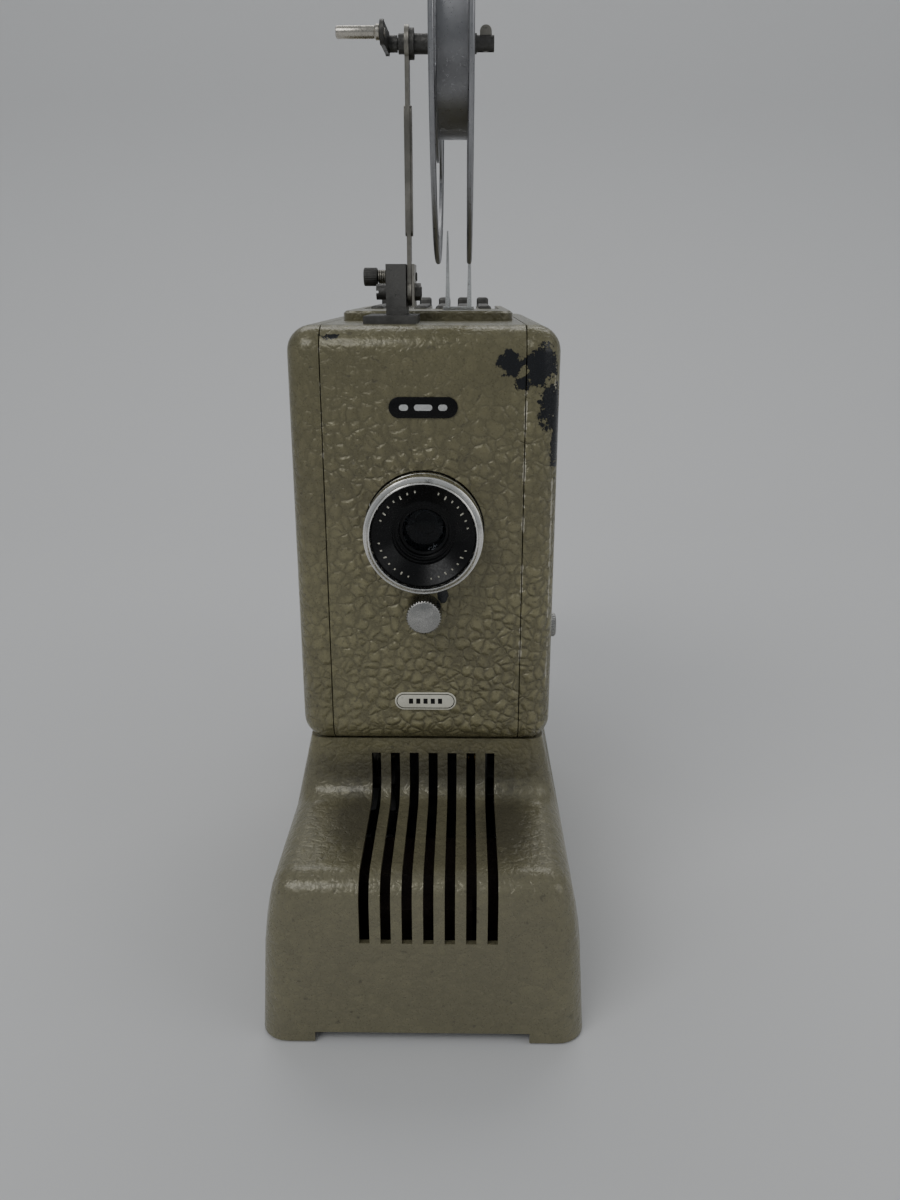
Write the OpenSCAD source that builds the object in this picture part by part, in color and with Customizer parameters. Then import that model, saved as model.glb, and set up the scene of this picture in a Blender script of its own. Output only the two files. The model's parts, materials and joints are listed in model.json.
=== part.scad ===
// Small film projector: a rounded body with the gate, lens and lamp, standing on a louvred base
// with the motor, and two reels on arms. Millimetres, +Z up, the lens looks along -Y.

/* [Body] */
// Width of the body
body_w = 90; // [86:1:94]
// Depth of the body, front to rear
body_d = 155; // [152:1:158]
// Height of the body above the base
body_h = 147; // [145:1:150]
// Radius of all outer edges of the body
edge_r = 8.5; // [7:0.5:9]
// Thickness of the body's walls
wall = 2; // [1.6:0.2:2.4]
// Half the width between the two seams of the side covers
seam_x = 33.3; // [33:0.1:34]

/* [Base] */
// Height of the base, up to the body
base_h = 87; // [86:1:88]
// Width of the base at the floor
base_w = 111; // [108:1:114]
// Width of the base where it meets the body
neck_w = 86; // [84:1:90]
// Reach of the base in front of the body
base_front = 52; // [50:1:53]
// Rear of the base, behind the front of the body
base_rear = 165; // [163:1:168]
// Number of slots in the front of the base
front_slots = 7; // [5:1:7]
// Number of slots in each side of the base
side_slots = 9; // [5:1:9]

/* [Lens] */
// Height of the lens above the floor
lens_z = 167.2; // [167:0.1:168]
// Outer radius of the lens barrel
lens_r = 20; // [19:0.5:20]
// How far the lens stands out of the body
lens_out = 11; // [9:0.5:12]

/* [Reels] */
// Outer radius of both reels
reel_r = 67; // [60:1:67]
// Radius of the reels' hubs
hub_r = 28; // [20:1:30]
// Clear width between a reel's flanges
film_gap = 9.8; // [9.6:0.1:10]
// Height of the feed spindle above the floor
feed_z = 320; // [320:1:324]
// Distance of the take-up spindle behind the front of the body
takeup_y = 235; // [235:1:240]
// Height of the take-up spindle above the floor
takeup_z = 112; // [110:1:114]

/* [Drive] */
// Teeth on each of the two equal timing gears
gear_teeth = 40; // [36:1:44]
// Radius of the shafts in the body
shaft_r = 2.5; // [2.4:0.1:2.6]
// Film pull-down of the claw for one picture
pull_down = 7.54; // [7.5:0.02:7.6]

/* [Hidden] */
$fn = 64;

body_top = base_h + body_h;
// Moves the model so that its box is centred on the origin; the front of the body is at Y = 0 before it
centre_y = -(takeup_y + reel_r - base_front) / 2;
fit = 0.05;               // radial clearance of a running fit
seam_gap = 0.25;          // gap between the body shell and each side cover
foot_h = 0.8;             // height of the rubber feet below the base's rim
arch_h = 4.5;             // height of the arches in the base's rim
plate_z = 5;              // underside of the base plate
shelf_z = 63.5;           // height of the base's front shelf
knob_z = 139;             // height of the focus knob
focus_travel = 3;         // lens travel each way from the middle of its range

// Shafts of the mechanism, all along X
cam_y = 50;
cam_z = 116;
shutter_y = cam_y + 20;
shutter_z = cam_z + 33;
motor_y = 85;
motor_z = 39;
belt_x = -28;             // plane of the drive belt
takeup_belt_x = -22.5;    // plane of the take-up belt
main_groove_r = 17;
motor_groove_r = 6;
takeup_groove_r = 9;
belt_t = 2;
gear_pitch_r = norm([shutter_y - cam_y, shutter_z - cam_z]) / 2;

// Feed arm and its bracket
arm_y = 31;
pivot_z = 244;
arm_x = -6.2;             // left face of the arm's blade
arm_t = 1.4;
clamp_y = arm_y + 5.9;
clamp_z = 249;
reel_x = 3.9;             // left face of a reel
flange_t = 0.8;
reel_w = film_gap + 2 * flange_t;
crank_l = 22;

// Door hinge
hinge_x = seam_x + seam_gap / 2;
hinge_y = body_d + 2.4;
hinge_zs = [112, 209];

// ---------------------------------------------------------------- helpers

module placed() translate([0, centre_y, 0]) children();

module block(x0, x1, y0, y1, z0, z1) translate([x0, y0, z0]) cube([x1 - x0, y1 - y0, z1 - z0]);

module rod_x(x0, x1, y, z, r) translate([x0, y, z]) rotate([0, 90, 0]) cylinder(r = r, h = x1 - x0);

module rod_y(y0, y1, x, z, r) translate([x, y1, z]) rotate([90, 0, 0]) cylinder(r = r, h = y1 - y0);

module rod_z(z0, z1, x, y, r) translate([x, y, z0]) cylinder(r = r, h = z1 - z0);

module tube_x(x0, x1, y, z, r, bore) difference() {
    rod_x(x0, x1, y, z, r);
    rod_x(x0 - 1, x1 + 1, y, z, bore);
}

module tube_y(y0, y1, x, z, r, bore) difference() {
    rod_y(y0, y1, x, z, r);
    rod_y(y0 - 1, y1 + 1, x, z, bore);
}

// Extrudes a drawing made in the Y-Z plane from x0 to x1
module from_side(x0, x1) translate([x0, 0, 0]) rotate([90, 0, 90]) linear_extrude(x1 - x0) children();

// Extrudes a drawing made in the X-Z plane from y0 to y1
module from_front(y0, y1) translate([0, y1, 0]) rotate([90, 0, 0]) linear_extrude(y1 - y0) children();

module rounded_rect(w, h, r) {
    square([w - 2 * r, h], center = true);
    square([w, h - 2 * r], center = true);
    for (x = [-1, 1], y = [-1, 1]) translate([x * (w / 2 - r), y * (h / 2 - r)]) circle(r);
}

module pill(w, h) {
    square([w - h, h], center = true);
    for (x = [-1, 1]) translate([x * (w - h) / 2, 0]) circle(h / 2);
}

// A lever between two round eyes, a little narrower than the eyes
module bar(y0, z0, y1, z1, w) {
    translate([y0, z0]) circle(w / 2);
    translate([y1, z1]) circle(w / 2);
    translate([y0, z0]) rotate(atan2(z1 - z0, y1 - y0)) translate([0, 0.3 - w / 2])
        square([norm([y1 - y0, z1 - z0]), w - 0.6]);
}

function arc(cy, cz, r, a0, a1, n) = [for (k = [0:n]) let (a = a0 + (a1 - a0) * k / n)
    [cy + r * cos(a), cz + r * sin(a)]];

// ---------------------------------------------------------------- base

// Front view of the base: straight flanks that lean in, with a rounded shoulder
module base_front_view(inset) {
    low = base_w / 2 - inset;
    high = neck_w / 2 - inset;
    half = concat([[low, 0]], arc(low - 14.6, 42, 12, 0, 13, 5), [[high, base_h - inset]]);
    polygon(concat(half, [for (k = [len(half) - 1:-1:0]) [-half[k][0], half[k][1]]]));
}

// Side view of the base: front face, convex edge, shelf, hollow corner, neck
module base_side_view(inset) {
    front = -base_front + inset;
    shelf = shelf_z - inset;
    neck = 5 + inset;
    polygon(concat([[front, 0]], arc(front + 11, shelf - 11, 10, 180, 92, 8),
        arc(neck - 9, shelf + 10, 9, 272, 360, 8),
        [[neck, base_h - inset], [150 - inset, base_h - inset],
        [base_rear - inset, 48], [base_rear - inset, 0]]));
}

module base_solid(inset) intersection() {
    from_side(-base_w / 2, base_w / 2) base_side_view(inset);
    from_front(-base_front, base_rear) base_front_view(inset);
    translate([0, (base_rear - base_front) / 2, -1]) linear_extrude(base_h + 2)
        rounded_rect(base_w - 2 * inset, base_rear + base_front - 2 * inset, 10 - inset);
}

// The louvre's slots run down the neck, over the shelf and down the front face
module front_louvre() for (k = [0:front_slots - 1])
    let (x = 2.4 + 7.03 * (k - (front_slots - 1) / 2))
        from_side(x - 1.7, x + 1.7)
            polygon([[-60, 40], [-60, 81], [10, 81], [10, 56], [-38, 56], [-46, 48], [-46, 40]]);

module base_shell() placed() color("darkkhaki") difference() {
    base_solid(0);
    translate([0, 0, -0.01]) base_solid(wall + 0.5);
    block(-60, 60, -60, 170, -1, foot_h);
    block(-36.5, 36.5, -60, 170, -1, arch_h);
    block(-60, 60, -28, 142, -1, arch_h);
    front_louvre();
    for (s = [-1, 1], k = [0:side_slots - 1]) let (y = 15 + 7 * k)
        block(min(s * 40, s * 60), max(s * 40, s * 60), y - 1.6, y + 1.6, 55, 83);
    block(-36, 36, 22, 140, base_h - 6, base_h + 1);
    block(-27, -18, 130, 170, 56, 84);
    block(-38, -22, 150, 170, 20, 36);
    rod_y(150, 170, 0, 30, 6.2);
    rod_y(150, 170, 28, 32, 3.2);
    case_screw_holes();
}

// Four screws hold the base plate to lugs in the corners of the base
lug_x = base_w / 2 - 14;
lug_ys = [-base_front + 18, base_rear - 18];

module case_screw_holes() for (x = [-lug_x, lug_x], y = lug_ys) rod_z(0, 16, x, y, 1.6);

module base_plate() placed() color("dimgray") difference() {
    union() {
        translate([0, (base_rear - base_front) / 2, plate_z]) linear_extrude(2)
            rounded_rect(base_w - 6.4, base_rear + base_front - 6.4, 7);
        for (x = [-lug_x, lug_x], y = lug_ys) rod_z(plate_z + 1, 14, x, y, 4);
    }
    case_screw_holes();
    for (x = [-30:10:30], y = [60, 104]) translate([x, y, 0]) linear_extrude(plate_z + 3)
        rounded_rect(4, 26, 1.9);
}

module rubber_feet() placed() color("black")
    for (x = [-lug_x - 6, lug_x + 6], y = [lug_ys[0] - 8, lug_ys[1] + 8]) rod_z(0, plate_z, x, y, 4.5);

module slotted_screw_z(x, y, z) difference() {
    union() {
        rod_z(z - 1.6, z, x, y, 3);
        rod_z(z - 0.1, z + 8, x, y, 1.6);
    }
    block(x - 4, x + 4, y - 0.4, y + 0.4, z - 2, z - 1);
}

module slotted_screw_x(x, y, z) difference() {
    union() {
        rod_x(x - 1.3, x, y, z, 3);
        rod_x(x - 0.1, x + 6, y, z, 1.5);
    }
    block(x - 2, x - 0.7, y - 4, y + 4, z - 0.4, z + 0.4);
}

cover_screw_places = [[18, 102], [137, 102], [18, 219], [137, 219]];

module case_screws() placed() color("silver") {
    for (x = [-lug_x, lug_x], y = lug_ys) slotted_screw_z(x, y, plate_z);
    for (p = cover_screw_places) slotted_screw_x(-body_w / 2, p[0], p[1]);
    for (x = [-14, 2]) difference() {
        rod_y(body_d + 2.5, body_d + 4, x, takeup_z, 2.6);
        block(x - 3, x + 3, body_d + 3.2, body_d + 5, takeup_z - 0.4, takeup_z + 0.4);
    }
}

// ---------------------------------------------------------------- body

module body_solid(inset) translate([0, body_d / 2, base_h + body_h / 2]) intersection() {
    linear_extrude(body_h - 2 * inset, center = true)
        rounded_rect(body_w - 2 * inset, body_d - 2 * inset, edge_r - inset);
    rotate([90, 0, 0]) linear_extrude(body_d - 2 * inset, center = true)
        rounded_rect(body_w - 2 * inset, body_h - 2 * inset, edge_r - inset);
    rotate([90, 0, 90]) linear_extrude(body_w - 2 * inset, center = true)
        rounded_rect(body_d - 2 * inset, body_h - 2 * inset, edge_r - inset);
}

film_slot_x = 11;
film_slot_y = 75;

module body_shell() placed() color("darkkhaki") difference() {
    union() {
        from_side(-seam_x, seam_x) translate([body_d / 2, base_h + body_h / 2]) difference() {
            rounded_rect(body_d, body_h, edge_r);
            rounded_rect(body_d - 2 * wall, body_h - 2 * wall, edge_r - wall);
        }
        rod_y(wall - 0.5, 21, 0, lens_z, lens_r + 3.2);
    }
    rod_y(-1, wall, 0, lens_z, lens_r + 0.4);
    rod_y(-1, 30, 0, lens_z, lens_r + fit);
    rod_y(-1, wall + 1, 0, knob_z, 1.6);
    block(-31.5, -21, 24, 104, base_h - 1, base_h + wall + 1);
    block(-13, 30, 64, 140, base_h - 1, base_h + wall + 1);
    block(-28, 28, 84, 142, body_top - wall - 1, body_top + 1);
    block(film_slot_x - 6, film_slot_x + 6, 58, 73, body_top - wall - 1, body_top + 1);
    block(-6, 6, body_d - wall - 1, body_d + 1, 93, 100);
    for (z = [150:7:206]) block(-26, 26, body_d - wall - 1, body_d + 1, z, z + 3);
}

// Short ventilation slots in the rounded top edge of each side cover
module edge_slots() for (k = [0:5]) block(40.5, 47, 62 + 7 * k, 65.5 + 7 * k, body_top - 6.5, body_top - 2.5);

module left_cover() placed() color("darkkhaki") difference() {
    intersection() {
        body_solid(0);
        block(-body_w, -seam_x - seam_gap, -1, body_d + 1, 0, body_top + 1);
    }
    body_solid(wall);
    mirror([1, 0, 0]) edge_slots();
    for (p = cover_screw_places) rod_x(-body_w / 2 - 1, -30, p[0], p[1], 1.5);
}

module door() placed() color("darkkhaki") {
    difference() {
        intersection() {
            body_solid(0);
            block(seam_x + seam_gap, body_w, -1, body_d + 1, 0, body_top + 1);
        }
        body_solid(wall);
        edge_slots();
        rod_x(30, 50, cam_y, cam_z, 6.4);
    }
    for (z = hinge_zs) difference() {
        union() {
            rod_z(z - 3.7, z + 3.7, hinge_x, hinge_y, 2.1);
            block(hinge_x + 0.4, hinge_x + 3.4, body_d - 0.5, body_d + 1.6, z - 3.7, z + 3.7);
        }
        rod_z(z - 5, z + 5, hinge_x, hinge_y, 1.2 + fit);
    }
}

// Fixed leaves of the two door hinges, each with its pin
module hinge_pins() placed() color("gray") for (z = hinge_zs) {
    rod_z(z - 12, z + 12, hinge_x, hinge_y, 1.2);
    for (s = [-1, 1]) rod_z(z + s * 8 - 4, z + s * 8 + 4, hinge_x, hinge_y, 2.1);
    for (s = [-1, 1]) block(18, hinge_x, body_d, body_d + 1.2, z + s * 8 - 4, z + s * 8 + 4);
    block(18, hinge_x - 3.2, body_d, body_d + 1.2, z - 12, z + 12);
}

lid_w = 62;
lid_y0 = 45;
lid_y1 = 150;
lid_h = 3.4;

module vent_lid() placed() color("darkkhaki") difference() {
    translate([0, (lid_y0 + lid_y1) / 2, body_top]) linear_extrude(lid_h)
        rounded_rect(lid_w, lid_y1 - lid_y0, 6);
    translate([0, (lid_y0 + lid_y1) / 2, body_top - 1]) linear_extrude(lid_h - 0.6)
        rounded_rect(lid_w - 4, lid_y1 - lid_y0 - 4, 4);
    for (k = [-3:3]) block(k * 8.6 - 1.45, k * 8.6 + 1.45, 84, lid_y1 + 1, body_top + 1, body_top + 5);
    block(film_slot_x - 6, film_slot_x + 6, 58, 80, body_top - 1, body_top + 5);
}

module upper_badge() placed() color("black") translate([0, 0, 208.2]) from_front(-0.5, 0) pill(22.6, 6.8);

module lower_badge() placed() color("ivory") translate([0, 0, 104.3]) from_front(-0.5, 0) pill(22, 6.7);

// ---------------------------------------------------------------- mechanism

frame_x = -19;
frame_t = 2;
roller_y = 44;
roller_z = 204;

// One plate left of the film carries both shafts and the roller; a post carries the cam shaft's other end
module mechanism_frame() placed() color("gray") {
    difference() {
        union() {
            from_side(frame_x, frame_x + frame_t) difference() {
                union() {
                    translate([32, base_h + wall]) square([62, 86]);
                    translate([32, base_h + wall]) square([22, 123]);
                }
                translate([cam_y, cam_z]) circle(4);
                translate([shutter_y, shutter_z]) circle(4);
            }
            block(frame_x, frame_x + 6, 34, 60, base_h + wall, base_h + wall + 2);
        }
    }
    difference() {
        union() {
            from_side(18, 21) {
                translate([cam_y - 8, base_h + wall]) square([16, cam_z - base_h - wall]);
                translate([cam_y, cam_z]) circle(8);
            }
            block(14, 28, cam_y - 8, cam_y + 8, base_h + wall, base_h + wall + 2);
        }
        rod_x(17, 22, cam_y, cam_z, 4);
    }
    rod_x(frame_x + frame_t - 0.5, 8.5, roller_y, roller_z, 2);
    rod_x(7.5, 8.5, roller_y, roller_z, 3);
}

module shaft_bushes() placed() color("goldenrod") {
    tube_x(frame_x - 0.6, frame_x + 5, cam_y, cam_z, 4, shaft_r + fit);
    tube_x(frame_x - 0.6, frame_x + 5, shutter_y, shutter_z, 4, shaft_r + fit);
    tube_x(17.4, 21.6, cam_y, cam_z, 4, shaft_r + fit);
    tube_x(-18, -14.6, motor_y, motor_z, 5, 3 + fit);
    tube_x(16, 19.4, motor_y, motor_z, 5, 3 + fit);
}

module gate_plate() placed() color("silver") difference() {
    union() {
        block(frame_x + frame_t, 9, 36, 38, 142, 190);
        for (s = [-1, 1]) block(s * 5.9 - 0.9, s * 5.9 + 0.9, 35.3, 36.5, 144, 188);
    }
    block(-4.25, 4.25, 30, 40, lens_z - 3.25, lens_z + 3.25);
    block(-1.2, 1.2, 30, 40, 142.5, 158);
}

module pressure_plate() placed() color("silver") difference() {
    union() {
        block(-7, 7, 33.2, 35, 144, 188);
        for (z = [150, 182]) rod_y(31.9, 33.5, 0, z, 2);
    }
    block(-4.25, 4.25, 30, 40, lens_z - 3.25, lens_z + 3.25);
    block(-1.2, 1.2, 30, 40, 145, 148);
    block(-1.2, 1.2, 34, 40, 143, 158);
}

cam_r = 5.6;

// The claw's foot stands just above the eccentric's highest point when the claw is at the bottom
module claw() placed() color("lightgray") {
    low = cam_z + cam_r + pull_down * 1.5 + 0.6;
    block(-2.5, 2.5, 40, 43.2, low, 159);
    block(-5, 5, 40, 43.2, low, low + 2);
    block(-0.8, 0.8, 35.1, 40.5, 151, 152.6);
}

module cam_shaft() placed() color("silver") {
    rod_x(-32, 48, cam_y, cam_z, shaft_r);
    rod_x(-5, 5, cam_y, cam_z + pull_down / 2, cam_r);
    rod_x(14.5, 17, cam_y, cam_z, 4.5);
}

// One side of a gear tooth: half its angle at radius r on an involute of pressure angle 20 degrees
function involute(r, base_r) = let (a = acos(min(1, base_r / r))) tan(a) * 180 / PI - a;

module gear_outline(pitch_r, teeth, backlash) {
    m = 2 * pitch_r / teeth;
    base_r = pitch_r * cos(20);
    root_r = pitch_r - 1.25 * m;
    half = 90 / teeth - backlash / pitch_r * 90 / PI + involute(pitch_r, base_r);
    radii = [root_r, base_r + 0.3, pitch_r, pitch_r + 0.45 * m, pitch_r + 0.85 * m];
    side = [for (r = radii) [r, half - involute(r, base_r)]];
    tooth = concat([for (p = side) [p[0], -p[1]]], [for (k = [len(side) - 1:-1:0]) side[k]]);
    polygon([for (t = [0:teeth - 1], p = tooth) let (a = p[1] + 360 * t / teeth)
        [p[0] * cos(a), p[0] * sin(a)]]);
}

mesh_angle = atan2(shutter_z - cam_z, shutter_y - cam_y);

module timing_gear(y, z, turn) {
    difference() {
        from_side(frame_x - 4.4, frame_x - 1) translate([y, z]) rotate(turn)
            gear_outline(gear_pitch_r, gear_teeth, 0.2);
        rod_x(-40, 0, y, z, shaft_r);
        for (k = [0:4]) rod_x(-40, 0, y + 12 * cos(72 * k), z + 12 * sin(72 * k), 3);
    }
}

module cam_gear() placed() color("goldenrod") timing_gear(cam_y, cam_z, mesh_angle);

module shutter_gear() placed() color("goldenrod")
    timing_gear(shutter_y, shutter_z, mesh_angle + 180 + 180 / gear_teeth);

// A grooved pulley: two flanges and a narrower core
module pulley(x, y, z, groove_r, bore) difference() {
    union() {
        rod_x(x - 3, x + 3, y, z, groove_r);
        for (s = [-1, 1]) rod_x(x + s * 2.4 - 0.6, x + s * 2.4 + 0.6, y, z, groove_r + 3);
    }
    rod_x(x - 4, x + 4, y, z, bore);
}

module main_pulley() placed() color("dimgray") difference() {
    pulley(belt_x, cam_y, cam_z, main_groove_r, shaft_r);
    for (k = [0:3]) rod_x(-40, 0, cam_y + 10.5 * cos(90 * k), cam_z + 10.5 * sin(90 * k), 4);
}

module inching_knob() placed() color("silver") difference() {
    rod_x(43.5, body_w / 2 + 5.5, cam_y, cam_z, 4.8);
    rod_x(43, 48, cam_y, cam_z, shaft_r);
}

drum_r = 24;

// Cup-shaped shutter with two blades that cross the beam above its shaft
module shutter_drum() placed() color("dimgray") {
    rod_x(-24.5, -11.5, shutter_y, shutter_z, shaft_r);
    from_side(-13, -11.8) translate([shutter_y, shutter_z]) circle(drum_r);
    from_side(-12, 9) translate([shutter_y, shutter_z]) intersection() {
        difference() {
            circle(drum_r);
            circle(drum_r - 1);
        }
        for (s = [-1, 1]) rotate(90 - 90 * s)
            polygon([[0, 0], [3 * drum_r, -3 * drum_r], [3 * drum_r, 3 * drum_r]]);
    }
}

module upper_roller() placed() color("silver") difference() {
    union() {
        rod_x(-6.5, 6.5, roller_y, roller_z, 4.4);
        for (s = [-1, 1]) rod_x(s * 5.9 - 0.6, s * 5.9 + 0.6, roller_y, roller_z, 6);
    }
    rod_x(-8, 8, roller_y, roller_z, 2 + fit);
}

// ---------------------------------------------------------------- lens and focus

lug_y = 24.5;

module lens_barrel() placed() color("silver") difference() {
    union() {
        rod_y(-lens_out, lug_y + 3, 0, lens_z, lens_r);
        block(-4, 4, lug_y, lug_y + 3, knob_z - 4, lens_z - 12);
    }
    rod_y(-lens_out - 1, 18, 0, lens_z, lens_r - 2);
    rod_y(-lens_out - 1, lug_y + 4, 0, lens_z, 12);
    rod_y(lug_y - 1, lug_y + 4, 0, knob_z, 1.5 + fit);
}

// Black cone inside the barrel: a wide sloping face, then a narrow throat down to the glass
module lens_cone() placed() color("black") translate([0, 0, lens_z]) rotate([90, 0, 0])
    rotate_extrude() polygon([[lens_r - 2, lens_out - 1], [lens_r - 3, lens_out - 1], [10.4, 7.4],
        [9.2, 7.4], [8.2, 0], [8.2, -10], [lens_r - 2, -10]]);

module lens_disc(y, r, curve_r) intersection() {
    rod_y(y - 6, y + 6, 0, lens_z, r);
    translate([0, y + curve_r - 2.2, lens_z]) sphere(curve_r, $fn = 200);
    translate([0, y - curve_r + 2.2, lens_z]) sphere(curve_r, $fn = 200);
}

module lens_elements() placed() color("lightblue") {
    lens_disc(3, 8.2, 26);
    lens_disc(21, 12, 44);
}

module focus_knob() placed() color("silver") translate([0, 0, knob_z]) rotate([90, 0, 0])
    rotate_extrude() polygon([[1.5, 0.8], [5.4, 0.8], [6, 1.4], [6, 9.2], [5.2, 10], [0, 10],
        [0, 8], [1.5, 8]]);

module focus_screw() placed() color("gray") {
    rod_y(-8, 30.5, 0, knob_z, 1.5);
    rod_y(wall + 0.2, wall + 2, 0, knob_z, 2.8);
}

// ---------------------------------------------------------------- lamp

lamp_y = 126;

module lamp_house() placed() color("lightgray") {
    difference() {
        block(-26, 26, 110, 150, base_h + wall, 228);
        block(-25, 25, 111, 149, base_h, 230);
        rod_y(105, 115, 0, lens_z, 14);
        block(-27, 27, 146, 151, base_h, 92);
        block(-8, 8, 100, 152, base_h, 104);
        for (z = [180:8:212]) block(-30, 30, 118, 142, z, z + 3);
        for (z = [120:8:144]) block(-30, 30, 118, 142, z, z + 3);
    }
    tube_y(97, 112, 0, lens_z, 15, 14);
}

module condenser_lens(y) intersection() {
    rod_y(y - 5, y + 1, 0, lens_z, 14);
    translate([0, y + 25 - 5, lens_z]) sphere(25);
}

module condenser_lenses() placed() color("lightblue") {
    condenser_lens(103);
    translate([0, 2 * 105.5, 0]) mirror([0, 1, 0]) condenser_lens(103);
}

module lamp_socket() placed() color("black") difference() {
    union() {
        block(-25, 25, 114, 138, 112, 113.6);
        rod_z(113, 133, 0, lamp_y, 11);
    }
    rod_z(120, 140, 0, lamp_y, 8.4);
}

module lamp_bulb() placed() color("lightcyan") {
    rod_z(122, 142, 0, lamp_y, 8.2);
    rod_z(141.5, 182, 0, lamp_y, 11);
    translate([0, lamp_y, 182]) sphere(11);
}

module reflector() placed() color("silver") {
    intersection() {
        difference() {
            translate([0, lamp_y, lens_z]) sphere(20);
            translate([0, lamp_y, lens_z]) sphere(19);
        }
        rod_y(130, 147, 0, lens_z, 14);
    }
    rod_y(145.4, 149, 0, lens_z, 3);
}

// ---------------------------------------------------------------- motor and drive

module motor_frame() placed() color("dimgray") {
    difference() {
        block(-13, 15, motor_y - 20, motor_y + 20, motor_z - 20, motor_z + 20);
        rod_x(-14, 16, motor_y, motor_z, 14.4);
    }
    for (x = [-17, 16.5]) difference() {
        block(x, x + 2, motor_y - 14, motor_y + 14, plate_z + 2, motor_z + 12);
        rod_x(x - 1, x + 3, motor_y, motor_z, 5);
    }
    for (y = [motor_y - 18, motor_y + 16]) block(-17, 18.5, y, y + 2, plate_z + 2, motor_z - 19.5);
    for (x = [-17, 16.5]) block(x, x + 2, motor_y - 18, motor_y + 18, plate_z + 2, plate_z + 6);
}

module motor_shaft() placed() color("silver") {
    rod_x(-32, 41, motor_y, motor_z, 3);
    rod_x(-13, 15, motor_y, motor_z, 14);
    rod_x(-31.5, -19.3, motor_y, motor_z, motor_groove_r);
    for (x = [-31, -25.25, -19.6]) rod_x(x - 0.5, x + 0.5, motor_y, motor_z, motor_groove_r + 3);
}

module fan_wheel() placed() color("gray") difference() {
    union() {
        rod_x(23, 24.4, motor_y, motor_z, 20);
        rod_x(23, 39, motor_y, motor_z, 6);
        for (k = [0:9]) translate([24, motor_y, motor_z]) rotate([36 * k, 0, 0])
            translate([0, 5, -0.6]) cube([14, 14.6, 1.2]);
    }
    rod_x(20, 42, motor_y, motor_z, 3);
}

module transformer() placed() color("saddlebrown") {
    block(-27, 27, -27, -3, plate_z + 2, 50);
    block(-17, 17, -36, 6, plate_z + 10, 42);
}

module belt(x, y0, z0, r0, y1, z1, r1) from_side(x - 1.1, x + 1.1) difference() {
    hull() {
        translate([y0, z0]) circle(r0 + belt_t);
        translate([y1, z1]) circle(r1 + belt_t);
    }
    hull() {
        translate([y0, z0]) circle(r0 + 0.1);
        translate([y1, z1]) circle(r1 + 0.1);
    }
}

module drive_belt() placed() color("slategray")
    belt(belt_x, motor_y, motor_z, motor_groove_r, cam_y, cam_z, main_groove_r);

module takeup_belt() placed() color("slategray")
    belt(takeup_belt_x, motor_y, motor_z, motor_groove_r, takeup_y, takeup_z, takeup_groove_r);

// ---------------------------------------------------------------- electrical parts

module mains_inlet() placed() color("black") difference() {
    union() {
        block(-38, -22, 148, base_rear + 0.2, 20, 36);
        block(-41, -19, base_rear, base_rear + 1.6, 17, 39);
    }
    block(-36.5, -23.5, 153, base_rear + 3, 21.5, 34.5);
}

module inlet_pins() placed() color("goldenrod") for (x = [-34.4, -25.6]) rod_y(153, 163, x, 28, 1.6);

module switch_body() placed() color("black") {
    difference() {
        union() {
            block(-8, 8, 146, 161, 20, 40);
            rod_y(160.5, base_rear + 4, 0, 30, 6);
        }
        rod_y(155, base_rear + 5, 0, 30, 4.3);
    }
}

module lamp_switch() placed() color("silver") translate([0, base_rear - 2, 30]) rotate([-14, 0, 0]) {
    sphere(3);
    rod_x(-3.8, 3.8, 0, 0, 1.2);
    rod_y(0, 16, 0, 0, 1.5);
    translate([0, 16, 0]) sphere(2.2);
}

module speed_knob() placed() color("black") {
    rod_y(158, 170, 28, 32, 3);
    translate([28, base_rear + 0.5, 32]) rotate([-90, 0, 0])
        rotate_extrude() polygon([[0, 0], [9, 0], [9, 2], [7.6, 3], [7, 11.4], [6.2, 12], [0, 12]]);
}

// ---------------------------------------------------------------- feed arm

module arm_bracket() placed() color("dimgray") difference() {
    union() {
        block(-20, -2.6, 11, 44, body_top, body_top + 2.5);
        block(-13.3, -6.5, 24, 42, body_top + 2, 253);
    }
    rod_x(-30, 0, arm_y, pivot_z, 1.8);
    rod_x(-30, 0, clamp_y, clamp_z, 1.5 + fit);
    rod_x(-14, -9.6, clamp_y, clamp_z, 2.6);
}

module pivot_bolt() placed() color("dimgray") difference() {
    union() {
        rod_x(-17, -13.3, arm_y, pivot_z, 2.6);
        rod_x(-13.5, -1.4, arm_y, pivot_z, 1.8);
        translate([-4.7, arm_y, pivot_z]) rotate([0, 90, 0]) cylinder(r = 2.9, h = 3, $fn = 6);
    }
    block(-18, -16.2, arm_y - 4, arm_y + 4, pivot_z - 0.4, pivot_z + 0.4);
}

module feed_arm() placed() color("dimgray") difference() {
    union() {
        from_side(arm_x, arm_x + arm_t) {
            bar(arm_y, pivot_z, arm_y, feed_z, 7.6);
            translate([arm_y, pivot_z]) circle(4.6);
            translate([arm_y, feed_z]) circle(5.5);
        }
        from_side(arm_x - 0.5, arm_x + arm_t + 0.6) translate([arm_y, 282]) rounded_rect(5.6, 40, 2);
    }
    rod_x(-10, 0, arm_y, pivot_z, 1.8 + fit);
    rod_x(-10, 0, arm_y, feed_z, 3);
}

module arm_bush() placed() color("dimgray") difference() {
    union() {
        rod_x(arm_x - 2, 3.3, arm_y, feed_z, 3);
        rod_x(arm_x + arm_t, arm_x + arm_t + 1.6, arm_y, feed_z, 4.6);
    }
    rod_x(-12, 5, arm_y, feed_z, 1.75 + fit);
}

module clamp_screw() placed() color("dimgray") {
    rod_x(-21.8, -17, clamp_y, clamp_z, 3.1);
    rod_x(-17.2, -3.2, clamp_y, clamp_z, 1.5);
}

module clip_plate() placed() color("gray") difference() {
    block(-4.5, -3.7, 25, 42, 239, 253);
    rod_x(-6, 0, clamp_y, clamp_z, 1.5);
    rod_x(-6, 0, arm_y, pivot_z, 3.3);
}

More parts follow.
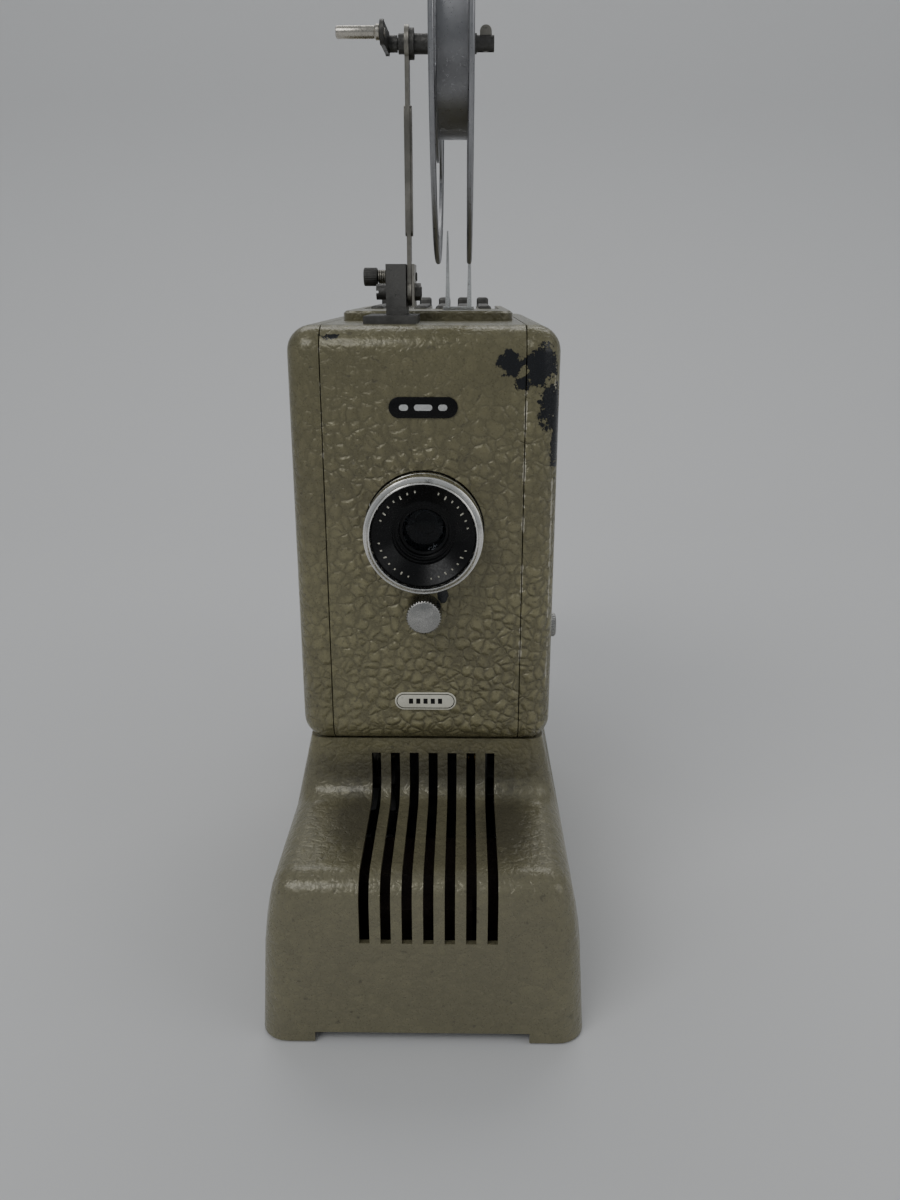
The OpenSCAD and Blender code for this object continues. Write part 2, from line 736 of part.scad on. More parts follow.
// Compression spring under the screw's head, drawn as its closed turns
module clamp_spring() placed() color("silver") for (k = [0:4])
    translate([-16.6 + 0.72 * k, clamp_y, clamp_z]) rotate([0, 90, 0])
        rotate_extrude() translate([2.05, 0]) circle(0.35);

// Spindle parts to the right of the arm are the same on both reels
module reel_seat(y, z) difference() {
    union() {
        rod_x(3.5, reel_x, y, z, 4.4);
        rod_x(3.5, reel_x + reel_w + 1.6, y, z, 3);
        rod_x(reel_x + reel_w + 1.5, 22.5, y, z, 2.5);
    }
    block(17.4, 24, y - 0.9, y + 0.9, z - 4, z + 4);
}

latch_x = 19.8;

module feed_spindle() placed() color("dimgray") {
    rod_x(-12.6, 3.6, arm_y, feed_z, 1.75);
    rod_x(-11.2, -8.6, arm_y, feed_z, 2.5);
    reel_seat(arm_y, feed_z);
    rod_y(arm_y - 2.2, arm_y + 2.2, latch_x, feed_z, 0.7);
}

module rewind_crank() placed() color("dimgray") difference() {
    from_side(-12.4, -11.2) bar(arm_y, feed_z, arm_y - crank_l, feed_z - 1.5, 7);
    rod_x(-13, -11, arm_y, feed_z, 1.75);
    rod_x(-13, -11, arm_y - crank_l, feed_z - 1.5, 1.2);
}

module crank_handle() placed() color("silver") {
    rod_x(-25.7, -12.4, arm_y - crank_l, feed_z - 1.5, 1.8);
    rod_x(-12.5, -10.9, arm_y - crank_l, feed_z - 1.5, 1.2);
}

module feed_latch() placed() color("gray") difference() {
    from_front(arm_y - 0.75, arm_y + 0.75) {
        translate([latch_x, feed_z]) circle(2.3);
        translate([latch_x, feed_z]) translate([-1.9, 0]) square([3.8, 3.4]);
        translate([latch_x, feed_z + 3.4]) circle(1.9);
    }
    rod_y(arm_y - 2, arm_y + 2, latch_x, feed_z, 0.7 + fit);
}

module flange_drawing() difference() {
    circle(reel_r - 0.4);
    circle(3 + fit);
    for (k = [0:2]) rotate(120 * k + 30) intersection() {
        difference() {
            circle(reel_r - 9);
            circle(hub_r + 7);
        }
        polygon([[0, 0], [2 * reel_r, -1.25 * reel_r], [2 * reel_r, 1.25 * reel_r]]);
    }
}

// Two windowed flanges with rolled rims on a hollow hub
module reel(y, z) {
    for (x = [reel_x, reel_x + reel_w - flange_t]) {
        from_side(x, x + flange_t) translate([y, z]) flange_drawing();
        translate([x + flange_t / 2, y, z]) rotate([0, 90, 0])
            rotate_extrude() translate([reel_r - 0.9, 0]) circle(0.9);
    }
    tube_x(reel_x + flange_t / 2, reel_x + reel_w - flange_t / 2, y, z, hub_r, hub_r - 1.2);
    tube_x(reel_x + flange_t / 2, reel_x + reel_w - flange_t / 2, y, z, 6, 3 + fit);
}

module feed_reel() placed() color("lightgray") reel(arm_y, feed_z);

// Two tapered spring fingers on a foot lead the film into the slot in the top
module film_guide() placed() color("gainsboro") {
    block(film_slot_x - 6, film_slot_x + 6, 73, 79.5, body_top, body_top + 4.4);
    for (s = [-1, 1]) translate([film_slot_x + s * 4.2, 0, 0]) from_front(74.5, 75.5)
        polygon([[-0.95, body_top + 4], [0.95, body_top + 4], [0.3, body_top + 32], [-0.3, body_top + 32]]);
}

// ---------------------------------------------------------------- take-up arm

module takeup_arm() placed() color("dimgray") difference() {
    union() {
        from_front(body_d, body_d + 2.5) translate([-6, takeup_z]) rounded_rect(24, 16, 3);
        from_side(-8, -4.6) {
            bar(body_d + 8, takeup_z, takeup_y, takeup_z, 12);
            translate([body_d, takeup_z - 6]) square([10, 12]);
        }
        rod_x(-16.5, 3.3, takeup_y, takeup_z, 4.6);
    }
    rod_x(-30, 5, takeup_y, takeup_z, 3 + fit);
}

module takeup_spindle() placed() color("dimgray") {
    rod_x(-26, 3.6, takeup_y, takeup_z, 3);
    reel_seat(takeup_y, takeup_z);
    pulley(takeup_belt_x, takeup_y, takeup_z, takeup_groove_r, 3);
}

module takeup_reel() placed() color("lightgray") reel(takeup_y, takeup_z);

base_shell();
base_plate();
rubber_feet();
case_screws();
body_shell();
left_cover();
door();
hinge_pins();
vent_lid();
upper_badge();
lower_badge();
mechanism_frame();
shaft_bushes();
gate_plate();
pressure_plate();
claw();
cam_shaft();
cam_gear();
main_pulley();
inching_knob();
shutter_drum();
shutter_gear();
upper_roller();
lens_barrel();
lens_cone();
lens_elements();
focus_knob();
focus_screw();
lamp_house();
condenser_lenses();
lamp_socket();
lamp_bulb();
reflector();
motor_frame();
motor_shaft();
fan_wheel();
transformer();
drive_belt();
takeup_belt();
mains_inlet();
inlet_pins();
switch_body();
lamp_switch();
speed_knob();
arm_bracket();
pivot_bolt();
feed_arm();
arm_bush();
clamp_screw();
clip_plate();
clamp_spring();
feed_spindle();
rewind_crank();
crank_handle();
feed_latch();
feed_reel();
film_guide();
takeup_arm();
takeup_spindle();
takeup_reel();
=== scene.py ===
import json
import math

import bpy
from bpy.props import FloatProperty, FloatVectorProperty, IntProperty, PointerProperty
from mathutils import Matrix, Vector


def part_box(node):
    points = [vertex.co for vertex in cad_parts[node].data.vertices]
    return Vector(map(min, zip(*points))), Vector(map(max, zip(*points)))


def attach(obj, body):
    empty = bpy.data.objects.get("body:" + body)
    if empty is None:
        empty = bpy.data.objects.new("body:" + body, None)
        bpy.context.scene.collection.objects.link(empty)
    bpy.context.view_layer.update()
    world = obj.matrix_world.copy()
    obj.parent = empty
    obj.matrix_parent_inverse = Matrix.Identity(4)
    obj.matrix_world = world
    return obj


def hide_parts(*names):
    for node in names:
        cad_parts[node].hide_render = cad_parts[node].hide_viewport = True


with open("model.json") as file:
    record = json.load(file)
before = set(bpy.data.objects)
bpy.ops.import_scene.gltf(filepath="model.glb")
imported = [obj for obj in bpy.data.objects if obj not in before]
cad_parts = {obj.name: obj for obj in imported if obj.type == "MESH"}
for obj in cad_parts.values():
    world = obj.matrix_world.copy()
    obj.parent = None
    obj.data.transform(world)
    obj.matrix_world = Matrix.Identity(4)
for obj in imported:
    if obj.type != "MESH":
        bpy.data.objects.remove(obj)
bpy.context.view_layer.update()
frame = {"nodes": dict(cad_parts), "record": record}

bl_info = {
    "name": "Small Film Projector",
    "version": (1, 0, 0),
    "blender": (4, 5, 0),
    "location": "View3D > Sidebar > Projector",
    "description": "Builds the visible pieces and finishes of a small film projector around its CAD frame",
    "category": "Object",
}

MM = 0.001
# The CAD model is centred front to rear; drawings below count from the front face of the body
BODY_LOW, BODY_HIGH = (Vector(v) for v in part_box("body_shell"))
FRONT_Y = BODY_LOW.y
BODY_BOTTOM, BODY_TOP = BODY_LOW.z, BODY_HIGH.z


def at(x, y, z):
    """A place in millimetres, counted from the middle of the body's front face at floor level."""
    return Vector((x * MM, FRONT_Y + y * MM, z * MM))


# Centre lines that several pieces share
LENS_LINE, FOCUS_LINE = at(0, 0, 167.2), at(0, 0, 139)
INCHING_LINE, CRANK_LINE = at(0, 50, 116), at(0, 9, 318.5)


# ------------------------------------------------------------------ settings

class ProjectorPaint(bpy.types.PropertyGroup):
    """Colours and grain of the hammertone paint"""
    colour: FloatVectorProperty(name="Paint", description="Raised cells of the paint", subtype="COLOR",
                                size=3, min=0, max=1, default=(0.165, 0.150, 0.080))
    # Colour of the painted shade in the creases between the cells
    crease_shade: FloatVectorProperty(name="Painted crease shade", description="Lines between the cells", subtype="COLOR",
                              size=3, min=0, max=1, default=(0.055, 0.048, 0.026))
    primer: FloatVectorProperty(name="Bare coat", description="Black coat where paint is chipped off",
                                subtype="COLOR", size=3, min=0, max=1, default=(0.006, 0.007, 0.009))
    cell: FloatProperty(name="Cell size", description="Width of one cell of the paint", subtype="DISTANCE",
                        unit="LENGTH", min=0.001, max=0.01, default=0.0040)


class ProjectorMetal(bpy.types.PropertyGroup):
    """Colours of the bare metals"""
    aluminium: FloatVectorProperty(name="Aluminium", description="Turned lens ring and knobs",
                                   subtype="COLOR", size=3, min=0, max=1, default=(0.66, 0.65, 0.62))
    reel: FloatVectorProperty(name="Reel", description="Pressed reel flanges and hub", subtype="COLOR",
                              size=3, min=0, max=1, default=(0.36, 0.36, 0.37))
    dark: FloatVectorProperty(name="Dark steel", description="Blackened bracket and bolts", subtype="COLOR",
                              size=3, min=0, max=1, default=(0.115, 0.112, 0.105))
    nickel: FloatVectorProperty(name="Nickel", description="Arm, latch and screws", subtype="COLOR",
                                size=3, min=0, max=1, default=(0.30, 0.285, 0.25))
    brass: FloatVectorProperty(name="Brass", description="Bushes, gears and contacts", subtype="COLOR",
                               size=3, min=0, max=1, default=(0.52, 0.34, 0.12))


class ProjectorShape(bpy.types.PropertyGroup):
    """Sizes of edges and details that the frame leaves open"""
    body_edge: FloatProperty(name="Body edge", description="Radius of the body's outer edges",
                             subtype="DISTANCE", unit="LENGTH", min=0.004, max=0.010, default=0.0085)
    base_edge: FloatProperty(name="Base edge", description="Largest radius of the base's edges",
                             subtype="DISTANCE", unit="LENGTH", min=0.004, max=0.012, default=0.010)
    wall: FloatProperty(name="Wall", description="Thickness of the painted shells", subtype="DISTANCE",
                        unit="LENGTH", min=0.001, max=0.003, default=0.002)
    knurls: IntProperty(name="Knurls", description="Grooves round a knurled knob", min=12, max=60, default=36)


class ProjectorStage(bpy.types.PropertyGroup):
    """Camera and light"""
    lens: FloatProperty(name="Lens", description="Focal length on a 36 mm sensor", unit="CAMERA",
                        min=20, max=80, default=29.17)
    pitch: FloatProperty(name="Pitch", description="How far the camera looks down", subtype="ANGLE",
                         unit="ROTATION", default=math.radians(17.84))
    heading: FloatProperty(name="Heading", description="How far the camera is turned to the left",
                           subtype="ANGLE", unit="ROTATION", default=math.radians(0.81))
    floor_tone: FloatVectorProperty(name="Floor", description="Colour of the floor and backdrop",
                                    subtype="COLOR", size=3, min=0, max=1, default=(0.68, 0.68, 0.68))


# ------------------------------------------------------------------ mesh helpers

def deselect():
    """Back to object mode with nothing selected."""
    if bpy.context.mode != "OBJECT":
        bpy.ops.object.mode_set(mode="OBJECT")
    bpy.ops.object.select_all(action="DESELECT")


def only(piece):
    """Selects just this piece and makes it active."""
    deselect()
    piece.select_set(True)
    bpy.context.view_layer.objects.active = piece


def settle(piece, name=None):
    """Puts the piece's place into its mesh, so that its object stays at the origin."""
    only(piece)
    bpy.ops.object.transform_apply(location=True, rotation=True, scale=True)
    if name:
        piece.name = name
        piece.data.name = name
    return piece


def box(name, low, high):
    """A block between two corners, to be shaped or to cut with."""
    deselect()
    low, high = Vector(low), Vector(high)
    bpy.ops.mesh.primitive_cube_add(size=1, location=(low + high) / 2, scale=high - low)
    return settle(bpy.context.active_object, name)


TURN = {"X": (0, math.pi / 2, 0), "Y": (math.pi / 2, 0, 0), "Z": (0, 0, 0)}


def rod(name, axis, centre, length, radius, sides=48):
    """A cylinder along X, Y or Z about its centre."""
    deselect()
    bpy.ops.mesh.primitive_cylinder_add(vertices=sides, radius=radius, depth=length, location=centre,
                                        rotation=TURN[axis])
    return settle(bpy.context.active_object, name)


def turned(name, axis, origin, profile, steps=96):
    """Spins a profile of (distance from the axis, distance along it) pairs, in millimetres, about X or Y."""
    deselect()
    bpy.ops.mesh.primitive_circle_add(vertices=len(profile), radius=0.001, fill_type="NOTHING")
    piece = bpy.context.active_object
    along = Vector((1, 0, 0)) if axis == "X" else Vector((0, 1, 0))
    for vertex, (radius, step) in zip(piece.data.vertices, profile):
        vertex.co = Vector(origin) + along * step * MM + Vector((0, 0, radius * MM))
    bpy.ops.object.mode_set(mode="EDIT")
    bpy.ops.mesh.select_mode(type="VERT")
    bpy.ops.mesh.select_all(action="SELECT")
    bpy.ops.mesh.spin(steps=steps, angle=2 * math.pi, center=origin, axis=along)
    bpy.ops.mesh.select_all(action="SELECT")
    bpy.ops.mesh.remove_doubles(threshold=1e-6)
    bpy.ops.mesh.dissolve_degenerate(threshold=1e-7)
    bpy.ops.mesh.select_all(action="SELECT")
    bpy.ops.mesh.delete_loose()
    bpy.ops.mesh.select_all(action="SELECT")
    bpy.ops.mesh.normals_make_consistent(inside=False)
    bpy.ops.object.mode_set(mode="OBJECT")
    return settle(piece, name)


def apply(piece, kind, **values):
    only(piece)
    modifier = piece.modifiers.new(kind.title(), kind)
    for key, value in values.items():
        setattr(modifier, key, value)
    bpy.ops.object.modifier_apply(modifier=modifier.name)


def bevel(piece, width, segments=3, angle=40):
    apply(piece, "BEVEL", width=width, segments=segments, limit_method="ANGLE",
          angle_limit=math.radians(angle), use_clamp_overlap=True)


def bevel_weighted(piece, weight_of, width, segments, **values):
    """Rounds edges, each by its own share of the width: weight_of takes the edge's two ends."""
    weights = piece.data.attributes.new("bevel_weight_edge", "FLOAT", "EDGE")
    for edge in piece.data.edges:
        a, b = (piece.data.vertices[v].co for v in edge.vertices)
        weights.data[edge.index].value = weight_of(a, b)
    apply(piece, "BEVEL", width=width, segments=segments, limit_method="WEIGHT", **values)


def along_axis(axis):
    """A test for edges that run along X, Y or Z."""
    place = "XYZ".index(axis)
    return lambda a, b: 1.0 if abs((b - a).normalized()[place]) > 0.9 else 0.0


def cut(piece, cutter):
    """Takes a cutter out of the piece and removes the cutter."""
    apply(piece, "BOOLEAN", object=cutter, operation="DIFFERENCE", solver="MANIFOLD")
    bpy.data.objects.remove(cutter, do_unlink=True)


def join(name, pieces):
    deselect()
    for piece in pieces:
        piece.select_set(True)
    bpy.context.view_layer.objects.active = pieces[0]
    if len(pieces) > 1:
        bpy.ops.object.join()
    return settle(bpy.context.active_object, name)


def slice_off(piece, point, normal, fill=True):
    """Cuts the piece with a plane and removes what lies on the normal's side."""
    only(piece)
    bpy.ops.object.mode_set(mode="EDIT")
    bpy.ops.mesh.select_all(action="SELECT")
    bpy.ops.mesh.bisect(plane_co=point, plane_no=Vector(normal).normalized(), use_fill=fill,
                        clear_outer=True)
    bpy.ops.object.mode_set(mode="OBJECT")


def select_faces(piece, test):
    """Leaves edit mode open with just the faces that pass the test selected."""
    only(piece)
    bpy.ops.object.mode_set(mode="EDIT")
    bpy.ops.mesh.select_mode(type="FACE")
    bpy.ops.mesh.select_all(action="DESELECT")
    bpy.ops.object.mode_set(mode="OBJECT")
    for face in piece.data.polygons:
        face.select = test(face)
    bpy.ops.object.mode_set(mode="EDIT")


def smooth(piece, angle=35):
    only(piece)
    bpy.ops.object.shade_smooth_by_angle(angle=math.radians(angle))


def fit(piece, body, slot, *replaced):
    """Gives a finished piece its body, its material slot and the CAD nodes that it stands for."""
    piece.data.materials.clear()
    piece.data.materials.append(finish(slot))
    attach(piece, body)
    if replaced:
        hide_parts(*replaced)
    return piece


# ------------------------------------------------------------------ shader helpers

def feed(tree, made, inputs):
    """Links each input that is a socket and sets each that is a plain value."""
    for key, value in inputs.items():
        if isinstance(value, bpy.types.NodeSocket):
            tree.links.new(value, made.inputs[key])
        else:
            made.inputs[key].default_value = value
    return made


def node(tree, kind, inputs=None, **values):
    made = tree.nodes.new("ShaderNode" + kind)
    for key, value in values.items():
        setattr(made, key, value)
    return feed(tree, made, inputs or {})


def maths(tree, operation, a, b=0.0):
    return node(tree, "Math", {0: a, 1: b}, operation=operation).outputs[0]


def product(tree, a, b):
    return maths(tree, "MULTIPLY", a, b)


def rest_of(tree, value):
    """One minus a value."""
    return maths(tree, "SUBTRACT", 1.0, value)


def mix(tree, factor, a, b):
    """Blends two colours."""
    return node(tree, "Mix", {0: factor, 6: a, 7: b}, data_type="RGBA").outputs[2]


def ramp(tree, value, low, high):
    """Maps low..high smoothly onto 0..1."""
    made = node(tree, "MapRange", {0: value, 1: low, 2: high, 3: 0.0, 4: 1.0},
                interpolation_type="SMOOTHSTEP")
    return made.outputs[0]


def vector(tree, operation, a, b=(0, 0, 0)):
    return node(tree, "VectorMath", {0: a, 1: b}, operation=operation).outputs[0]


def length(tree, a):
    return node(tree, "VectorMath", {0: a}, operation="LENGTH").outputs["Value"]


def noise(tree, place, scale, detail, roughness=0.5):
    return node(tree, "TexNoise", {"Vector": place, "Scale": scale, "Detail": detail,
                                   "Roughness": roughness}).outputs


def use(tree, name, inputs):
    """Places a shared group in a material and gives its outputs."""
    return node(tree, "Group", inputs, node_tree=shared_group(*GROUPS[name])).outputs


def shared_group(name, values, outputs, build):
    """The group of this name, built the first time: one vector and some values in, values out."""
    if name in bpy.data.node_groups:
        return bpy.data.node_groups[name]
    group = bpy.data.node_groups.new(name, "ShaderNodeTree")
    for label, default in {"Vector": (0, 0, 0), **values}.items():
        kind = "Vector" if isinstance(default, tuple) else "Float"
        socket = group.interface.new_socket(name=label, in_out="INPUT", socket_type="NodeSocket" + kind)
        socket.default_value = default
    for label in outputs:
        group.interface.new_socket(name=label, in_out="OUTPUT", socket_type="NodeSocketFloat")
    given = group.nodes.new("NodeGroupInput").outputs
    out = group.nodes.new("NodeGroupOutput").inputs
    for label, value in zip(outputs, build(group, given)):
        group.links.new(value, out[label])
    return group


def cells(group, given):
    """Raised, rounded cells with veins between them, as in hammertone paint; the second output masks the
    painted shade in the creases.
    """
    scale = maths(group, "DIVIDE", 1.0, given["Cell"])
    wobble = noise(group, given["Vector"], 190.0, 2.0)["Color"]
    shift = vector(group, "SUBTRACT", wobble, (0.5, 0.5, 0.5))
    small = node(group, "VectorMath", {0: shift, "Scale": 0.0042}, operation="SCALE").outputs[0]
    place = vector(group, "ADD", given["Vector"], small)
    edge = node(group, "TexVoronoi", {"Vector": place, "Scale": scale, "Randomness": 0.9},
                feature="DISTANCE_TO_EDGE")
    pebble = node(group, "TexVoronoi", {"Vector": place, "Scale": scale, "Smoothness": 0.3,
                                        "Randomness": 0.9}, feature="SMOOTH_F1")
    parts = node(group, "SeparateColor", {0: pebble.outputs["Color"]})
    dome = rest_of(group, ramp(group, pebble.outputs["Distance"], 0.05, 0.75))
    shoulder = maths(group, "POWER", ramp(group, edge.outputs["Distance"], 0.0, 0.34), 0.6)
    height = maths(group, "ADD", product(group, dome, 0.5), product(group, shoulder, 0.5))
    # Mask for painted shade: darker colour in the creases between the cells
    crease_shade = rest_of(group, ramp(group, edge.outputs["Distance"], 0.0, 0.2))
    return height, product(group, crease_shade, crease_shade), parts.outputs[0]


def ragged_patch(group, given):
    """A ragged patch round a centre: 1 inside, 0 outside."""
    offset = vector(group, "SUBTRACT", given["Vector"], given["Centre"])
    distance = length(group, vector(group, "DIVIDE", offset, given["Size"]))
    coarse = noise(group, given["Vector"], 330.0, 5.0, 0.72)[0]
    bumpy = product(group, maths(group, "SUBTRACT", coarse, 0.5), given["Ragged"])
    total = maths(group, "ADD", distance, product(group, bumpy, 3.0))
    inner = rest_of(group, given["Soft"])
    outer = maths(group, "ADD", 1.0, given["Soft"])
    return [rest_of(group, ramp(group, total, inner, outer))]


def worn_line(group, given):
    """Paint rubbed thin along an upright line through a point, between two heights."""
    offset = vector(group, "SUBTRACT", given["Vector"], given["Foot"])
    away = length(group, vector(group, "MULTIPLY", offset, (1, 1, 0)))
    rub = noise(group, given["Vector"], 210.0, 4.0, 0.7)[0]
    reach = product(group, given["Width"], ramp(group, rub, 0.38, 0.66))
    near = maths(group, "LESS_THAN", away, reach)
    height = node(group, "SeparateXYZ", {0: given["Vector"]}).outputs[2]
    above = maths(group, "GREATER_THAN", height, given["Low"])
    below = maths(group, "LESS_THAN", height, given["High"])
    return [product(group, near, product(group, above, below))]


def surface_grain(group, given):
    """Broad stains, fine grain and sparse specks, for every plain finish."""
    stain = noise(group, given["Vector"], given["Stain Scale"], 5.0, 0.6)[0]
    grain = noise(group, given["Vector"], given["Grain Scale"], 3.0)[0]
    speck = noise(group, given["Vector"], 420.0, 2.0)[0]
    return ramp(group, stain, 0.35, 0.68), ramp(group, grain, 0.3, 0.7), ramp(group, speck, 0.66, 0.74)


def turned_rings(group, given):
    """Concentric tool marks about an axis: the vector is already centred on the turned piece."""
    turns = maths(group, "DIVIDE", length(group, given["Vector"]), given["Pitch"])
    line = node(group, "CombineXYZ", {0: turns}).outputs[0]
    return noise(group, line, 1.0, 2.0)[0], noise(group, line, 0.12, 3.0)[0]


# Each shared group: its name, its values besides the vector, its outputs and what builds it
GROUPS = {
    "worn": ("Worn Line", {"Foot": (0, 0, 0), "Width": 0.0005, "Low": 0.1, "High": 0.2}, ("Mask",), worn_line),
    "cells": ("Hammer Cells", {"Cell": 0.004}, ("Height", "Crease Shade", "Tone"), cells),
    "ragged_patch": ("Ragged Patch", {"Centre": (0, 0, 0), "Size": (0.01, 0.01, 0.01), "Ragged": 0.8, "Soft": 0.03},
             ("Mask",), ragged_patch),
    "grain": ("Surface Grain", {"Stain Scale": 40.0, "Grain Scale": 900.0}, ("Stain", "Grain", "Speck"),
              surface_grain),
    "rings": ("Turned Rings", {"Pitch": 0.0002}, ("Height", "Streak"), turned_rings),
}


def shader(tree, **values):
    """The material's Principled shader; plain values stay on its sockets, sockets are linked."""
    made = tree.nodes.new("ShaderNodeBsdfPrincipled")
    out = tree.nodes.new("ShaderNodeOutputMaterial")
    tree.links.new(made.outputs[0], out.inputs[0])
    return feed(tree, made, {key.replace("_", " "): value for key, value in values.items()})


def layer(tree, mask, share, under, over):
    """Lays a colour over another, where a mask allows, up to a share."""
    return mix(tree, product(tree, mask, share), under, over)


def start(name):
    """A new material, its nodes and the place of each point on the object."""
    material = bpy.data.materials.new(name)
    material.use_nodes = True
    tree = material.node_tree
    tree.nodes.clear()
    place = tree.nodes.new("ShaderNodeTexCoord").outputs["Object"]
    return material, tree, place


def bump(tree, height, strength, distance, normal=None):
    made = node(tree, "Bump", {"Height": height, "Strength": strength, "Distance": distance})
    if normal is not None:
        tree.links.new(normal, made.inputs["Normal"])
    return made.outputs[0]


def shade_of(colour, factor):
    return tuple(min(1.0, c * factor) for c in colour) + (1.0,)


# ------------------------------------------------------------------ finishes

# Where the paint is chipped: middle and half size in millimetres, and how ragged the patch is
CHIPS = (
    ((28.5, 0, 222.5), (4.2, 6, 3.6), 1.05),
    ((32.4, 0, 216.0), (2.2, 4, 2.4), 1.1),
    ((38.6, 0, 221.5), (5.0, 7, 6.4), 0.9),
    ((41.5, 2, 209.0), (3.8, 6, 7.4), 1.1),
    ((44.0, 5, 198.0), (2.0, 5, 11.0), 1.0),
    ((6.2, 0, 144.2), (1.9, 3, 2.9), 0.35),
    ((-30.0, 0, 230.6), (3.6, 3, 1.1), 1.0),
    ((36.0, 0, 88.6), (2.4, 4, 0.8), 0.8),
)


# Darker patches on the shelf of the base, and a painted shadow on the neck under the body's overhang (the last
# one): middle and half size in millimetres
SHELF_PATCHES_AND_SHADOW = (((-25.0, -14, 64), (8, 20, 9)), ((29.0, -16, 64), (9, 22, 9)), ((0, 2, 74), (44, 10, 7)))

# Rubbed lines: foot, width, lowest and highest point in millimetres
RUBS = (((33.45, 0, 0), 0.62, 118, 219), ((43.2, 3.1, 0), 0.8, 112, 222), ((-33.4, 0, 0), 0.35, 190, 228))


def paint_relief(tree, place):
    """How strongly the hammer pattern shows: most on the lower front of the body, least on the base."""
    parts = node(tree, "SeparateXYZ", {0: place}).outputs
    body = ramp(tree, parts[2], 0.0845, 0.094)
    upper = ramp(tree, parts[2], 0.188, 0.226)
    left = ramp(tree, product(tree, parts[0], -1.0), 0.012, 0.046)
    fade = rest_of(tree, product(tree, upper, 0.7))
    fade = product(tree, fade, rest_of(tree, product(tree, left, 0.5)))
    patchy = noise(tree, place, 26.0, 2.0)[0]
    patchy = maths(tree, "ADD", 0.7, product(tree, ramp(tree, patchy, 0.35, 0.65), 0.4))
    weak = product(tree, rest_of(tree, body), 0.22)
    return maths(tree, "ADD", weak, product(tree, product(tree, body, fade), patchy))


def hammertone(name):
    """Glossy greenish-grey hammertone paint with painted highlights on the cell tops, painted shade in the
    creases, grime stains, darker patches, a painted shadow under the body's overhang, rubbed lines and chips
    down to a black coat; darker towards the top of the body and paler on the base.
    """
    paint = bpy.context.scene.projector_paint
    material, tree, place = start(name)
    cells = use(tree, "cells", {"Vector": place, "Cell": paint.cell})
    grain = use(tree, "grain", {"Vector": place, "Stain Scale": 22.0, "Grain Scale": 1500.0})
    strong = paint_relief(tree, place)
    fine = use(tree, "cells", {"Vector": place, "Cell": product(tree, paint.cell, 0.42)})
    # Cell heights: they raise the bump and also paint a highlight on the cell tops
    pebble_relief_and_highlight = product(tree, cells["Height"], strong)
    tone = mix(tree, cells["Tone"], shade_of(paint.colour, 0.84), shade_of(paint.colour, 1.16))
    # Painted highlight: the tops of the cells are coloured lighter
    tone = layer(tree, pebble_relief_and_highlight, 0.62, tone, shade_of(paint.colour, 1.95))
    # Painted highlight on the tops of the small cells, then painted shade in their creases
    tone = layer(tree, fine["Height"], 0.25, tone, shade_of(paint.colour, 1.5))
    tone = layer(tree, fine["Crease Shade"], 0.14, tone, tuple(paint.crease_shade) + (1,))
    tone = layer(tree, grain["Grain"], 0.25, tone, shade_of(paint.colour, 1.3))
    # Painted shade in the creases between the cells
    tone = layer(tree, product(tree, cells["Crease Shade"], strong), 0.32, tone,
               tuple(paint.crease_shade) + (1,))
    tone = layer(tree, grain["Stain"], 0.3, tone, (0.085, 0.072, 0.042, 1))
    height = node(tree, "SeparateXYZ", {0: place}).outputs[2]
    tone = layer(tree, ramp(tree, height, 0.150, 0.215), 0.32, tone,
               shade_of(paint.colour, 0.75))
    pale = rest_of(tree, ramp(tree, height, 0.070, 0.088))
    tone = layer(tree, pale, 0.45, tone, (0.185, 0.172, 0.118, 1))
    # Darker patches on the shelf; the last patch, on the neck under the body's overhang, is a painted shadow
    for centre, size in SHELF_PATCHES_AND_SHADOW:
        dark_patch_and_shadow = use(tree, "ragged_patch", {"Vector": place, "Centre": at(*centre), "Size": Vector(size) * MM,
                                  "Ragged": 0.5, "Soft": 0.55})["Mask"]
        tone = layer(tree, dark_patch_and_shadow, 0.6, tone, (0.045, 0.04, 0.03, 1))
    tone = layer(tree, grain["Speck"], 0.4, tone, (0.03, 0.025, 0.02, 1))
    for foot, width, lowest, highest in RUBS:
        rubbed = use(tree, "worn", {"Vector": place, "Foot": at(*foot), "Width": width * MM,
                                    "Low": lowest * MM, "High": highest * MM})["Mask"]
        tone = layer(tree, rubbed, 0.85, tone, (0.46, 0.43, 0.34, 1))
    chipped = None
    for centre, size, ragged in CHIPS:
        mask = use(tree, "ragged_patch", {"Vector": place, "Centre": at(*centre), "Size": Vector(size) * MM,
                                  "Ragged": ragged})["Mask"]
        chipped = mask if chipped is None else maths(tree, "MAXIMUM", chipped, mask)
    colour = mix(tree, chipped, tone, tuple(paint.primer) + (1,))
    whole = rest_of(tree, chipped)
    relief = maths(tree, "ADD", pebble_relief_and_highlight, product(tree, fine["Height"], 0.1))
    normal = bump(tree, product(tree, relief, whole), 0.8, 0.0010)
    normal = bump(tree, whole, 0.6, 0.0003, normal)
    rough = maths(tree, "ADD", 0.26, product(tree, grain["Grain"], 0.16))
    rough = maths(tree, "SUBTRACT", rough, product(tree, chipped, 0.12))
    metal = product(tree, whole, 0.2)
    coat = product(tree, whole, 0.3)
    shader(tree, Base_Color=colour, Roughness=rough, Metallic=metal, Normal=normal, Coat_Weight=coat,
           Coat_Roughness=0.16)
    return material


